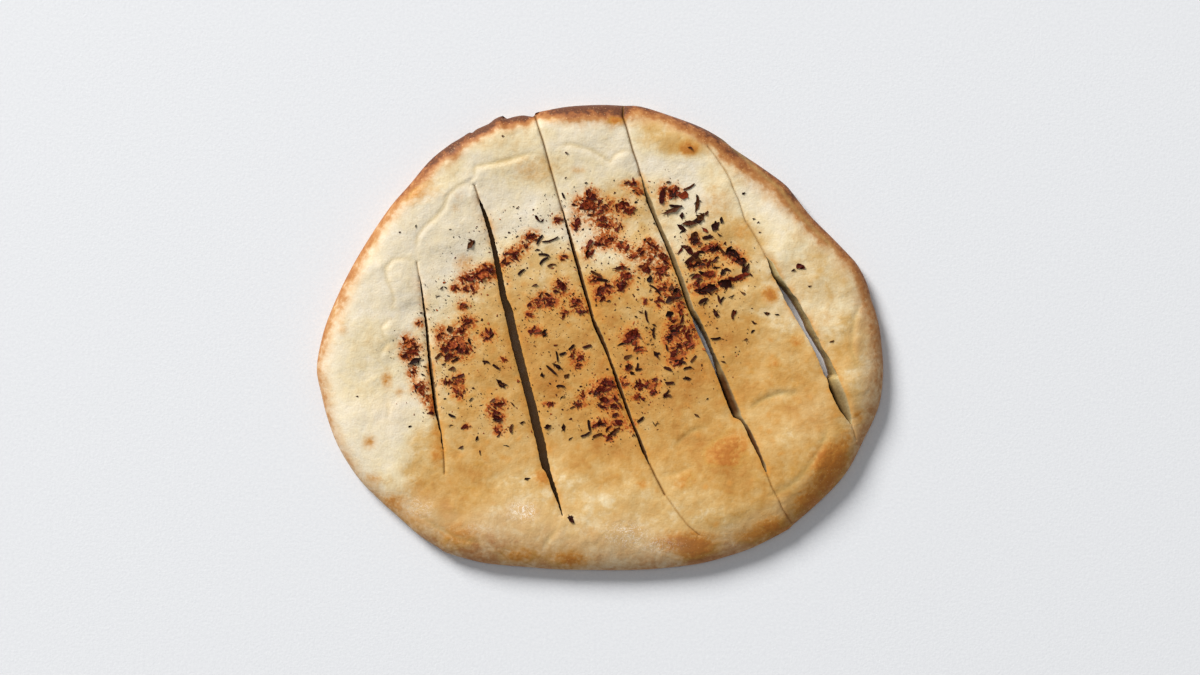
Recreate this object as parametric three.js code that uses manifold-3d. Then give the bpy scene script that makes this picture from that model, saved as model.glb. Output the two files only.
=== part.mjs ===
// A focaccia: a flat loaf baked as one piece, with a puffed rim, a pressed middle and five knife slits,
// strewn with dried herb leaves, stems and chilli flakes.
// Millimetres, +Z up. The origin is under the middle of the loaf, on the surface that it rests on.
import * as THREE from "three";
import { mergeVertices } from "three/addons/utils/BufferGeometryUtils.js";
import Module from "manifold-3d";

const wasm = await Module();
wasm.setup();

// Driving dimensions.
const MIDDLE_HEIGHT = 11.5; // of the pressed middle
const RIM_HEIGHT = 14; // of the puffed rim, before its bubbles
const EDGE_HEIGHT = 5; // where the rim is widest, between its top and its underside
const MEAN_SHOULDER = 15; // how far in from the edge the rim rises
const SHOULDER_SWING = 7; // the shoulder is this much shorter on one side and this much longer on the other
const SHOULDER_TURN = Math.PI / 6; // from the far side to where the shoulder is shortest
const DISH_RUN = 52; // how far the rim takes to fall to the middle
const UNDERCUT = 9; // how far the underside's edge curves up
const OUTLINE_STEPS = 96; // around the loaf
const RINGS = 20; // from the middle to the edge
const SCORE_WIDTH = 0.7; // of a slit that closed again in the oven
const SCORE_FLOOR = 5.2; // such a slit cuts down to here
const BLIND_FLOOR = 1.6; // an open slit that leaves the bottom crust whole cuts down to here
const UNDER_LOAF = -2; // a cutter that goes right through starts here
const OVER_LOAF = 24; // every cutter ends here
const FLAKE_THICKNESS = 0.5;
const FLAKE_GAP = 0.5; // from a flake to the crust under it

// The edge, seen from above, anticlockwise from the right.
const OUTLINE = [
  [141, -16], [139.9, -1], [137.3, 12.4], [133.5, 25.6], [127.6, 36.9], [120, 45.3],
  [110.1, 55.3], [100.1, 66.5], [92.4, 75.8], [79.9, 85.1], [65.2, 95], [50, 104.8],
  [35.3, 110.3], [20.5, 114.6], [0, 115.8], [-15.4, 114.9], [-31, 112], [-43.6, 109.7],
  [-55.3, 106.4], [-69.4, 99.2], [-79.9, 91.8], [-89.9, 82.2], [-100.1, 69.7], [-110, 55.9],
  [-120, 41], [-129.6, 24], [-136.5, 6], [-141, -15.8], [-138, -31], [-132.3, -50],
  [-125.1, -64], [-114.9, -76.2], [-100.1, -89.6], [-88, -100], [-77.4, -106.7], [-66.8, -110.1],
  [-45, -113.8], [-19.9, -115.5], [5, -115.8], [30, -115.1], [50, -112.7], [70, -107],
  [93.7, -95.4], [105.3, -85.4], [116.2, -74.9], [124.2, -64.9], [131.5, -50.5], [138, -34],
];

// Bubbles that rose in the crust: x, y, radius, height.
const BUBBLES = [
  [-101, 27, 12, 1], [-118, 2, 15, 1], [-84, 60, 16, 0.9], [-48, 95, 14, 1],
  [-9, 101, 12, 1], [40, 98, 12, 1], [97, 47, 15, 1.2], [96, -56, 22, 2.6],
  [126, -24, 12, 1.8], [50, -80, 20, 1.6], [2, -90, 20, 1.8], [-56, -88, 17, 1.6],
  [-107, -50, 16, 1],
];

// The slits, from left to right. Each opening lists y, left and right of the gap at the crust, and floor is
// where it ends. share is how much of the width is left at the underside, where the right wall leans in.
// Each score is a line along which the cut closed again.
const SLITS = [
  {
    floor: BLIND_FLOOR,
    share: 0.9,
    opening: [
      [30, -89.3, -89.1], [15, -87.6, -86.7], [0, -86, -85], [-15, -84.4, -83], [-30, -82.9, -81.3],
      [-40, -80.7, -80], [-48, -78.9, -78.7],
    ],
    scores: [[[-90.5, 37], [-89.2, 29]], [[-78.8, -47], [-77.6, -55], [-76.9, -66]]],
  },
  {
    floor: BLIND_FLOOR,
    share: 0.9,
    opening: [
      [68, -59.9, -59.5], [60, -57.8, -55.6], [50, -54.9, -52.7], [40, -52.9, -50.3], [30, -51.1, -48.2],
      [14, -47.8, -43.7], [5, -45.8, -41.4], [-5, -43.5, -39.1], [-24, -38.5, -34.3], [-43, -34, -29.5],
      [-53, -31.4, -26.9], [-65, -28.2, -24.7], [-75, -24, -21.8], [-88, -18.8, -18.5],
    ],
    scores: [[[-62, 75], [-59.7, 67]]],
  },
  {
    floor: BLIND_FLOOR,
    share: 0.9,
    opening: [
      [63, -18.8, -18.4], [56, -17.2, -15.8], [42, -13.8, -11.8], [27, -9.6, -7.4], [9, -4.2, -2.6],
      [-1, -0.3, 2.2], [-11, 4.1, 5.8], [-24, 8.4, 10.7], [-43, 15.7, 17.3], [-56, 20.6, 22.6],
      [-63, 24.2, 24.5],
    ],
    scores: [
      [[-33.6, 116], [-30.8, 105], [-26, 90], [-22.8, 77.7], [-18.4, 61]],
      [[24.2, -62], [29.5, -73], [39.7, -88.3], [46.2, -95.4]],
    ],
  },
  {
    floor: UNDER_LOAF,
    share: 0.4,
    opening: [
      [81, 20.1, 20.4], [66.8, 23.5, 26.3], [54, 28.5, 31.1], [41, 34, 37.2], [29, 38.5, 41.7],
      [14.4, 43.6, 46.7], [4.7, 47.2, 51.7], [-5, 51.7, 55.6], [-20, 58.1, 62.9], [-35.6, 64.8, 69.7],
      [-45, 71, 73.9], [-55, 76.4, 78.7], [-66, 81.8, 82.2],
    ],
    scores: [
      [[11.5, 118], [11.6, 108], [14.7, 97.6], [20.3, 79]],
      [[81.9, -65], [86.7, -77.8], [90.5, -85], [98, -97]],
    ],
  },
  {
    floor: UNDER_LOAF,
    share: 0.4,
    opening: [
      [39, 82.4, 82.8], [31.5, 84.9, 88.4], [21.3, 90.8, 95.6], [13, 94.7, 100.8], [3.5, 100.2, 105.9],
      [-5, 105, 109.9], [-15, 109.4, 115.5], [-25.4, 112.8, 120.4], [-35.6, 118.3, 123.8], [-43, 124.4, 124.8],
    ],
    scores: [[[53.3, 94.4], [62.6, 81.5], [68.7, 68.1], [74.5, 54], [82.7, 38]]],
  },
];

// The largest pieces of seasoning: kind, x, y, length, width, heading in degrees anticlockwise from +X.
const FLAKES = [
  ["leaf", -64, 46, 6, 3, 55], ["leaf", -91.8, -11.7, 8, 3, 27], ["leaf", -74.5, 4.2, 4, 3.5, 0],
  ["leaf", -49.5, -22.8, 6.5, 3, -45], ["leaf", -51, -40.5, 5, 3, 10], ["leaf", -26, -44, 4, 2.5, 20],
  ["leaf", -18, -44.5, 4, 2.4, 100], ["leaf", -27.5, 2.3, 4, 2.5, 95], ["leaf", -14.3, -89.6, 5, 2.5, -55],
  ["leaf", -6, 41.5, 5, 3, 80], ["leaf", 9.7, 34.5, 8, 2, 7], ["leaf", 6.4, -47.2, 8.4, 2.2, 39],
  ["leaf", 35.6, 63, 11, 2.6, 24], ["leaf", 44, 56.5, 8, 2.8, 5], ["leaf", 47.6, 39, 7.5, 3, -40],
  ["leaf", 66, 41.5, 8, 4.5, -28], ["leaf", 53.5, 24, 10, 4.5, 12], ["leaf", 82.5, 12, 3.4, 1.8, -10],
  ["leaf", 43, -20.3, 4.5, 2, 0], ["leaf", -21.2, -14.3, 6.4, 2, -31], ["leaf", 37.5, 23, 4.6, 3, 40],
  ["shard", 36.5, 72, 6.5, 5, 25], ["shard", 48.3, 66, 9, 3.2, 76], ["shard", 49.5, 59.5, 5, 4.6, 10],
  ["shard", 57, 55, 5, 4.8, 8], ["shard", 40.6, 60.4, 3.4, 3, 60], ["shard", 47, 48.6, 5, 4.4, 50],
  ["shard", 42.6, 45, 5, 3, -15], ["shard", 62.5, 25.5, 5, 4.6, 30], ["shard", 57, 12.5, 4, 3.6, 70],
  ["shard", 32.5, -28, 5, 4.6, 15], ["shard", -73.5, -15.5, 3.6, 3, 0], ["shard", 71.2, 34, 6, 2.4, 85],
  ["shard", 76.5, 7.5, 3.2, 2, -35], ["shard", -28.5, -18.5, 3, 2.2, 90], ["shard", 0.5, -43, 4.2, 2.8, 5],
  ["stem", 27.2, 23.8, 8, 1, -42], ["stem", -24.7, 48.2, 8.6, 0.9, 15], ["stem", -29.8, 48.4, 5.6, 1.3, 55],
  ["stem", -24.2, -16.2, 6.6, 1.3, -42], ["stem", -21.4, -9.4, 5.3, 1, -83], ["stem", -7, -48.1, 5.4, 1.3, 25],
  ["stem", -1.3, -48.5, 5.2, 1.3, 18], ["stem", -27.8, 40.8, 5.4, 1.2, -10], ["stem", 22.8, 10.5, 6, 1.1, -80],
  ["stem", 66, 11.5, 4.6, 1.4, 80], ["stem", 43.3, -15.2, 4.6, 1.2, 12], ["stem", 57.2, -0.6, 5, 1.1, 5],
  ["chilli", 99, 35, 4.4, 2.6, -20], ["chilli", 15.5, 1, 5.5, 4, 30], ["chilli", -73, -3.6, 5.5, 4, 15],
  ["chilli", -19, 25.4, 5, 3.6, -20], ["chilli", -5.5, 65.6, 5.4, 4, 35], ["chilli", -95.2, -3.4, 4.6, 3.2, -30],
  ["chilli", 0.6, -25.6, 5, 3.4, 10], ["chilli", -57.8, 31, 5, 3.2, 20],
];

// One row per kind of seasoning: its node name and its colour.
const FLAKE_KINDS = {
  leaf: { name: "herb_leaf", colour: "#2e2014" },
  shard: { name: "herb_shard", colour: "#362416" },
  stem: { name: "herb_stem", colour: "#4a3a20" },
  chilli: { name: "chilli_flake", colour: "#6d2410" },
};

// Outlines of the kinds, as shares of the half length and the half width.
const FLAKE_OUTLINES = {
  leaf: [[-1, 0], [-0.45, -0.9], [0.35, -1], [1, 0.1], [0.3, 0.9], [-0.5, 1]],
  shard: [[-1, -0.7], [0.2, -1], [1, -0.3], [0.5, 1], [-0.6, 0.8]],
  stem: [[-1, -0.6], [0, -1], [1, -0.2], [1, 1], [0, 0.5], [-1, 1]],
  chilli: [[-1, -0.2], [-0.3, -1], [0.7, -0.8], [1, 0.3], [0.1, 1], [-0.8, 0.8]],
};

const smooth = (edge, end, value) => THREE.MathUtils.smoothstep(value, edge, end);
const edgeLine = new THREE.CatmullRomCurve3(
  OUTLINE.map(([x, y]) => new THREE.Vector3(x, y, 0)),
  true,
  "centripetal",
).getSpacedPoints(OUTLINE_STEPS);
edgeLine.pop(); // the closed curve's last point is its first

// How far a point is in from the edge.
function insetOf(x, y) {
  const point = new THREE.Vector3(x, y, 0);
  const side = new THREE.Line3();
  const nearest = new THREE.Vector3();
  let inset = Infinity;
  edgeLine.forEach((corner, i) => {
    side.set(corner, edgeLine[(i + 1) % edgeLine.length]);
    side.closestPointToPoint(point, true, nearest);
    inset = Math.min(inset, nearest.distanceTo(point));
  });
  return inset;
}

// A quarter of an ellipse: 0 and upright at the edge, 1 and level from run inwards.
function shoulder(inset, run) {
  const left = 1 - Math.min(inset / run, 1);
  return Math.sqrt(1 - left * left);
}

// The crust's height: the rim's shoulder, the dish of the middle, and the bubbles.
function crustHeight(x, y) {
  const inset = insetOf(x, y);
  const run = MEAN_SHOULDER - SHOULDER_SWING * Math.sin(Math.atan2(y, x) - SHOULDER_TURN);
  const rise = shoulder(inset, run);
  const dish = smooth(run, run + DISH_RUN, inset) * (RIM_HEIGHT - MIDDLE_HEIGHT);
  const bubbles = BUBBLES.reduce((sum, [bx, by, radius, height]) => {
    const away = Math.hypot(x - bx, y - by) / radius;
    return sum + height * Math.exp(-away * away);
  }, 0);
  return EDGE_HEIGHT + rise * (RIM_HEIGHT - EDGE_HEIGHT - dish + bubbles);
}

// The underside is flat, and curves up to the edge.
function undersideHeight(x, y) {
  return EDGE_HEIGHT * (1 - shoulder(insetOf(x, y), UNDERCUT));
}

// A closed geometry from lists of points and of corner numbers.
function geometryOf(points, corners) {
  const geometry = new THREE.BufferGeometry();
  geometry.setAttribute("position", new THREE.Float32BufferAttribute(points.flat(), 3));
  geometry.setIndex(corners);
  return geometry;
}

// The whole loaf before it is cut: rings of the outline for the crust, and again for the underside.
function loafGeometry() {
  const points = [];
  const corners = [];
  const count = edgeLine.length;
  const share = (ring) => 1 - (1 - ring / RINGS) ** 2; // rings crowd towards the edge
  const addRing = (ring, heightAt) => {
    edgeLine.forEach(({ x, y }) => {
      const [px, py] = [x * share(ring), y * share(ring)];
      points.push([px, py, heightAt(px, py)]);
    });
    return points.length - count;
  };
  const addMiddle = (z) => points.push([0, 0, z]) - 1;
  // Joins ring a, inside, to ring b. A ring of the underside is wound the other way.
  const joinRings = (a, b, up) => {
    for (let i = 0; i < count; i++) {
      const j = (i + 1) % count;
      const [first, last] = up ? [i, j] : [j, i];
      corners.push(a + first, b + first, b + last, a + first, b + last, a + last);
    }
  };
  const joinMiddle = (middle, ring, up) => {
    for (let i = 0; i < count; i++) {
      const j = (i + 1) % count;
      corners.push(middle, ring + (up ? i : j), ring + (up ? j : i));
    }
  };
  const edge = addRing(RINGS, () => EDGE_HEIGHT);
  const flatRing = Math.ceil(RINGS * 0.65); // the underside is flat inside this ring
  for (const up of [true, false]) {
    const heightAt = up ? crustHeight : undersideHeight;
    const start = up ? 1 : flatRing;
    let inner = addRing(start, heightAt);
    joinMiddle(addMiddle(heightAt(0, 0)), inner, up);
    for (let ring = start + 1; ring < RINGS; ring++) {
      const outer = addRing(ring, heightAt);
      joinRings(inner, outer, up);
      inner = outer;
    }
    joinRings(inner, edge, up);
  }
  return geometryOf(points, corners);
}

// A closed prism between two outlines with the same number of corners, both anticlockwise.
function prismGeometry(low, high, bottom, top) {
  const count = low.length;
  const caps = THREE.ShapeUtils.triangulateShape(low, []);
  const points = [...low.map(({ x, y }) => [x, y, bottom]), ...high.map(({ x, y }) => [x, y, top])];
  const corners = caps.flatMap(([a, b, c]) => [a, c, b, a + count, b + count, c + count]);
  for (let i = 0; i < count; i++) {
    const j = (i + 1) % count;
    corners.push(i, j, j + count, i, j + count, i + count);
  }
  return geometryOf(points, corners);
}

// The gap's outline at a height: down its left side and back up its right one, which leans in below.
function openingAt(z, { opening, share }) {
  const spread = share + ((1 - share) * z) / MIDDLE_HEIGHT;
  const left = opening.map(([y, x]) => new THREE.Vector2(x, y));
  const right = opening.map(([y, near, far]) => new THREE.Vector2(near + (far - near) * spread, y));
  return [...left, ...right.reverse()];
}

// A line's own outline, SCORE_WIDTH wide.
function scoreOutline(line) {
  const corners = line.map(([x, y]) => new THREE.Vector2(x, y));
  const heading = corners.at(-1).clone().sub(corners[0]).normalize();
  const aside = new THREE.Vector2(heading.y, -heading.x).multiplyScalar(SCORE_WIDTH / 2);
  const right = corners.map((corner) => corner.clone().add(aside));
  const left = corners.map((corner) => corner.clone().sub(aside));
  return [...right, ...left.reverse()];
}

function slitCutters(slit) {
  const low = openingAt(slit.floor, slit);
  const high = openingAt(OVER_LOAF, slit);
  const gap = prismGeometry(low, high, slit.floor, OVER_LOAF);
  const scored = slit.scores.map((line) => {
    const outline = scoreOutline(line);
    return prismGeometry(outline, outline, SCORE_FLOOR, OVER_LOAF);
  });
  return [gap, ...scored];
}

function solidOf(geometry) {
  const merged = mergeVertices(geometry);
  const vertProperties = merged.attributes.position.array;
  const triVerts = new Uint32Array(merged.index.array);
  return new wasm.Manifold(new wasm.Mesh({ numProp: 3, vertProperties, triVerts }));
}

function geometryOfSolid(solid) {
  const { vertProperties, triVerts } = solid.getMesh();
  const geometry = new THREE.BufferGeometry();
  geometry.setAttribute("position", new THREE.BufferAttribute(vertProperties, 3));
  geometry.setIndex(new THREE.BufferAttribute(triVerts, 1));
  return geometry;
}

function breadMesh() {
  let loaf = solidOf(loafGeometry());
  for (const cutter of SLITS.flatMap(slitCutters)) loaf = loaf.subtract(solidOf(cutter));
  const crust = new THREE.MeshStandardMaterial({ color: "#dcb176", roughness: 0.62, metalness: 0 });
  const bread = new THREE.Mesh(geometryOfSolid(loaf), crust);
  bread.name = "bread";
  return bread;
}

// Which way the crust faces.
function crustNormal(x, y) {
  const step = 1;
  const slopeX = crustHeight(x + step, y) - crustHeight(x - step, y);
  const slopeY = crustHeight(x, y + step) - crustHeight(x, y - step);
  return new THREE.Vector3(-slopeX, -slopeY, 2 * step).normalize();
}

// A flake lies flat to the crust, clear of it under each corner.
function flakeMesh([kind, x, y, length, width, degrees], name) {
  const { colour } = FLAKE_KINDS[kind];
  const corners = FLAKE_OUTLINES[kind].map(([u, v]) => new THREE.Vector2((u * length) / 2, (v * width) / 2));
  const heading = THREE.MathUtils.degToRad(degrees);
  const shape = new THREE.Shape(corners);
  const geometry = new THREE.ExtrudeGeometry(shape, { depth: FLAKE_THICKNESS, bevelEnabled: false });
  const material = new THREE.MeshStandardMaterial({ color: colour, roughness: 0.8, metalness: 0 });
  const flake = new THREE.Mesh(geometry, material);
  const tilt = new THREE.Quaternion().setFromUnitVectors(new THREE.Vector3(0, 0, 1), crustNormal(x, y));
  const turn = new THREE.Quaternion().setFromAxisAngle(new THREE.Vector3(0, 0, 1), heading);
  flake.quaternion.copy(tilt.multiply(turn));
  flake.position.set(x, y, 0);
  const rises = corners.map((corner) => {
    const under = flake.localToWorld(new THREE.Vector3(corner.x, corner.y, 0));
    return crustHeight(under.x, under.y) - under.z;
  });
  flake.position.z = Math.max(crustHeight(x, y), ...rises) + FLAKE_GAP;
  flake.name = name;
  return flake;
}

function seasoning() {
  const made = { leaf: 0, shard: 0, stem: 0, chilli: 0 };
  return FLAKES.map((flake) => {
    const [kind] = flake;
    made[kind] += 1;
    return flakeMesh(flake, `${FLAKE_KINDS[kind].name}_${String(made[kind]).padStart(2, "0")}`);
  });
}

const focaccia = new THREE.Group();
focaccia.add(breadMesh(), ...seasoning());

export default focaccia;
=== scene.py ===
"""A focaccia, seen from straight above on a pale floor: the loaf, its seasoning, the light and the camera."""
import math
import random

import bpy
import numpy as np
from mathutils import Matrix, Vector, geometry, noise


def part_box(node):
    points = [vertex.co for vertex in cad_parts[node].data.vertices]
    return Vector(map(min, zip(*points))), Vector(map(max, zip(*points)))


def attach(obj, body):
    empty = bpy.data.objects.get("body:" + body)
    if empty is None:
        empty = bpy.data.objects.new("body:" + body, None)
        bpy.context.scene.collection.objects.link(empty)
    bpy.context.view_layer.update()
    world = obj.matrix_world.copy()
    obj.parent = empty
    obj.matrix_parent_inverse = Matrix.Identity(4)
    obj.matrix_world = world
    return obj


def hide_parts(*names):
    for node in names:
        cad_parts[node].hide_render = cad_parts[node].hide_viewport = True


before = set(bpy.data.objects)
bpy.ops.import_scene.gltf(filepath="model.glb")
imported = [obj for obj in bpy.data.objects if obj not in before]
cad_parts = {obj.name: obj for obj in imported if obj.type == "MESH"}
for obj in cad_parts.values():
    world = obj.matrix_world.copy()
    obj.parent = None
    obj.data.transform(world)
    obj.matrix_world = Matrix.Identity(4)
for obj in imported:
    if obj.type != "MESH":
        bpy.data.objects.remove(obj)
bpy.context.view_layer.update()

# Lengths are in millimetres of a loaf that is LOAF_LENGTH long, except where a comment says metres.
# MM turns millimetres into metres.
LOAF_LENGTH = 282
bread_low, bread_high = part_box("bread")
MM = (bread_high[0] - bread_low[0]) / LOAF_LENGTH

MIDDLE_HEIGHT = 11.5
RIM_HEIGHT = 14
EDGE_HEIGHT = 5
MEAN_SHOULDER = 15  # how far in from the edge the rim reaches its height
SHOULDER_SWING = 7  # how much more that is on the near side, and less on the far side
SHOULDER_TURN = 30  # degrees from the far side to where the shoulder is shortest
DISH_RUN = 52  # over what width the rim sinks to the middle
UNDERCUT = 9  # how far in from the edge the underside meets the floor
CRUST_LUMPS = [(0.32, 16, 3.1), (0.13, 4.5, 8.7)]  # height, width, seed of the noise
BLISTERS = 170
BLISTER_REACH = (128, 104)  # half the length and half the width of the oval that they lie in
LONGEST_FADE = 10  # how long the ends of a fold fade at most

LIP_DROP = 0.55  # how much the crust sinks at a gap
LIP_RUN = 0.9  # how far from the gap that has faded to a third
GROOVE_DEPTH = 1.5  # of the narrow groove where a cut healed
GROOVE_REACH = 0.55
HOLLOW_DEPTH = 0.35  # of the soft hollow round that groove
HOLLOW_REACH = 1.6
BLIND_FLOOR = 1.6  # where a slit stops that doesn't go through
NARROWEST_FOOT = 0.04  # how far apart the walls of a gap stay at its foot
SLOPE_PART = 0.7  # the share of a leaning wall's rows that slope in before it drops

# How the mesh is cut: steps between its points, where its rings and rows lie, and what they keep clear of.
EDGE_STEP = 1.2
CRUST_STEP = 1.08
UNDERSIDE_STEP = 3.2
SLIT_STEP = 0.9
HEALED_STEP = 0.8
WALL_ROWS = 9
GRID_REACH = (142, 117)  # half the length and half the width of the area that the grids cover
GRID_SHAKE = 0.12  # how far a grid's point is moved at most, as a share of the step
RIM_RINGS = (0.12, 0.45, 1.0, 1.75, 2.6, 3.6)
UNDERSIDE_RINGS = (0.35, 1.2, 2.6, 4.6, 7, 9.5)
HEALED_ROWS = (-0.8, -0.36, 0, 0.36, 0.8)
HEALED_CLEARANCE = 1
EDGE_CLEARANCE = 0.35
GAP_CLEARANCE = 0.5
UNDERSIDE_CLEARANCE = 1.2

# The edge, seen from above, anticlockwise from the right. It has small steps and bumps at the far left.
OUTLINE = [
    (141, -16), (139.9, -1), (138.9, 6), (137.3, 12.4), (135.1, 19), (133.3, 25.6), (130.8, 31.6),
    (127.4, 37.2), (123.8, 41.2), (115.2, 50.1), (104.9, 60.4), (96.3, 71.3), (91.6, 76.6),
    (79.9, 85.1), (72.2, 90.2), (65.2, 95), (60.4, 99), (50, 104.8), (35.3, 110.3), (20.5, 114.9),
    (11.6, 115.4), (0, 115.8), (-15.4, 115), (-26.9, 113), (-32, 111.7), (-33.2, 109.8), (-38.1, 110.6),
    (-43.6, 109.7), (-46.3, 108.9), (-48.4, 110.2), (-52, 109), (-55.3, 106.4), (-61.4, 103.7),
    (-63.3, 101.7), (-65.2, 102), (-69.4, 99.2), (-74.8, 96), (-84.7, 88), (-95, 75.8), (-104, 65.5),
    (-114.9, 49.5), (-125.5, 31.3), (-134.7, 11.2), (-138.9, -2.3), (-141, -15.8), (-138.9, -27.3),
    (-135.4, -41), (-129.6, -55.6), (-120, -70.4), (-109.7, -81), (-100.1, -89.6), (-89.9, -98.6),
    (-79.9, -105), (-76.8, -107), (-66.8, -110.1), (-55.3, -112.6), (-35.3, -114.4), (-19.9, -115.5),
    (0, -115.8), (14, -115.8), (30, -115), (50, -112.5), (64.9, -108.5), (75.1, -105), (84.7, -100.4),
    (93.6, -95.6), (96.6, -92.8), (105.3, -85.4), (116.2, -74.9), (124.2, -64.9), (131.5, -50.5),
    (136, -41.4), (139.6, -31),
]

# Bubbles that rose in the crust: x, y, radius, height.
BUBBLES = [
    (-101, 27, 12, 1.0), (-118, 2, 15, 1.0), (-84, 60, 16, 0.9), (-48, 95, 14, 1.0), (-9, 101, 12, 1.0),
    (40, 98, 12, 1.0), (97, 47, 15, 1.2), (96, -56, 22, 2.6), (126, -24, 12, 1.8), (50, -80, 20, 1.6),
    (2, -90, 20, 1.8), (-56, -88, 17, 1.6), (-107, -50, 16, 1.0),
    (-104, 3, 5, 0.7), (-120, 30, 8, 0.6), (-78, 70, 7, 0.6), (-30, 97, 8, 0.6), (12, 88, 7, 0.5),
    (66, 86, 7, 0.7), (-70, 50, 9, 0.6), (-30, 62, 10, 0.5), (60, 70, 9, 0.5), (107, 28, 7, 0.7),
    (118, 5, 6, 0.5), (-120, -40, 8, 0.6), (-98, -72, 9, 0.7), (-84, -86, 6, 0.6), (-66, -66, 8, 0.6),
    (-30, -92, 9, 0.7), (20, -76, 8, 0.5), (36, -98, 9, 0.7), (62, -86, 9, 0.8), (62, -58, 9, 0.7),
    (84, -20, 8, 0.6), (106, -66, 7, 0.7), (74, 20, 7, 0.4), (-60, -40, 7, 0.4), (-12, -62, 8, 0.5),
]

# Folds in the crust: the left side of each line is raised by the height given, over the width given.
FOLDS = [
    (0.65, 2.0, [(-91, 36), (-96, 38.5), (-102, 38), (-105.5, 34), (-104.5, 28), (-102.5, 24), (-101, 19),
                (-102, 15), (-99.5, 11)]),
    (0.6, 1.8, [(-98, 9), (-104, 8.5), (-107.5, 5), (-106.5, 1), (-104, -3), (-108, -8), (-109.5, -14)]),
    (0.7, 2.2, [(-62, 75), (-66, 75.5), (-70, 74.5), (-74.5, 70), (-76.5, 64), (-81, 59), (-86, 54.5),
                (-89.5, 50), (-90.5, 40)]),
    (0.8, 2.2, [(-28, 91), (-36, 90), (-42, 88), (-50, 86), (-61, 84), (-62, 80), (-66, 86)]),
    (0.7, 2.2, [(20, 90), (16, 91), (12, 92), (8, 90), (5, 86), (-4, 92), (-15, 95), (-24, 93)]),
    (0.9, 2.4, [(70, -37), (75, -34), (80, -30), (88, -27), (97, -27), (101, -30)]),
    (0.7, 3.2, [(115, -40), (112, -50), (108, -57), (105, -63), (100, -69), (95, -74), (88, -78), (80, -80)]),
    (0.6, 2.0, [(50, -63), (42, -66), (36, -68.5), (28, -70)]),
    (0.6, 2.0, [(34, -56), (40, -50), (45, -46), (55, -42)]),
    (0.5, 1.8, [(-105, -30), (-104, -36), (-105, -43)]),
    (0.6, 2.4, [(-18, -92), (-24, -99), (-28, -106)]),
    (0.7, 2.6, [(56, 104), (66, 96), (76, 86), (90, 74), (99, 62), (110, 51), (120, 42)]),
    (0.7, 2.2, [(131, 20), (126, 8), (125, -6), (129, -18)]),
    (0.6, 2.4, [(-55, -103), (-70, -100), (-82, -94), (-92, -86)]),
]

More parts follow.
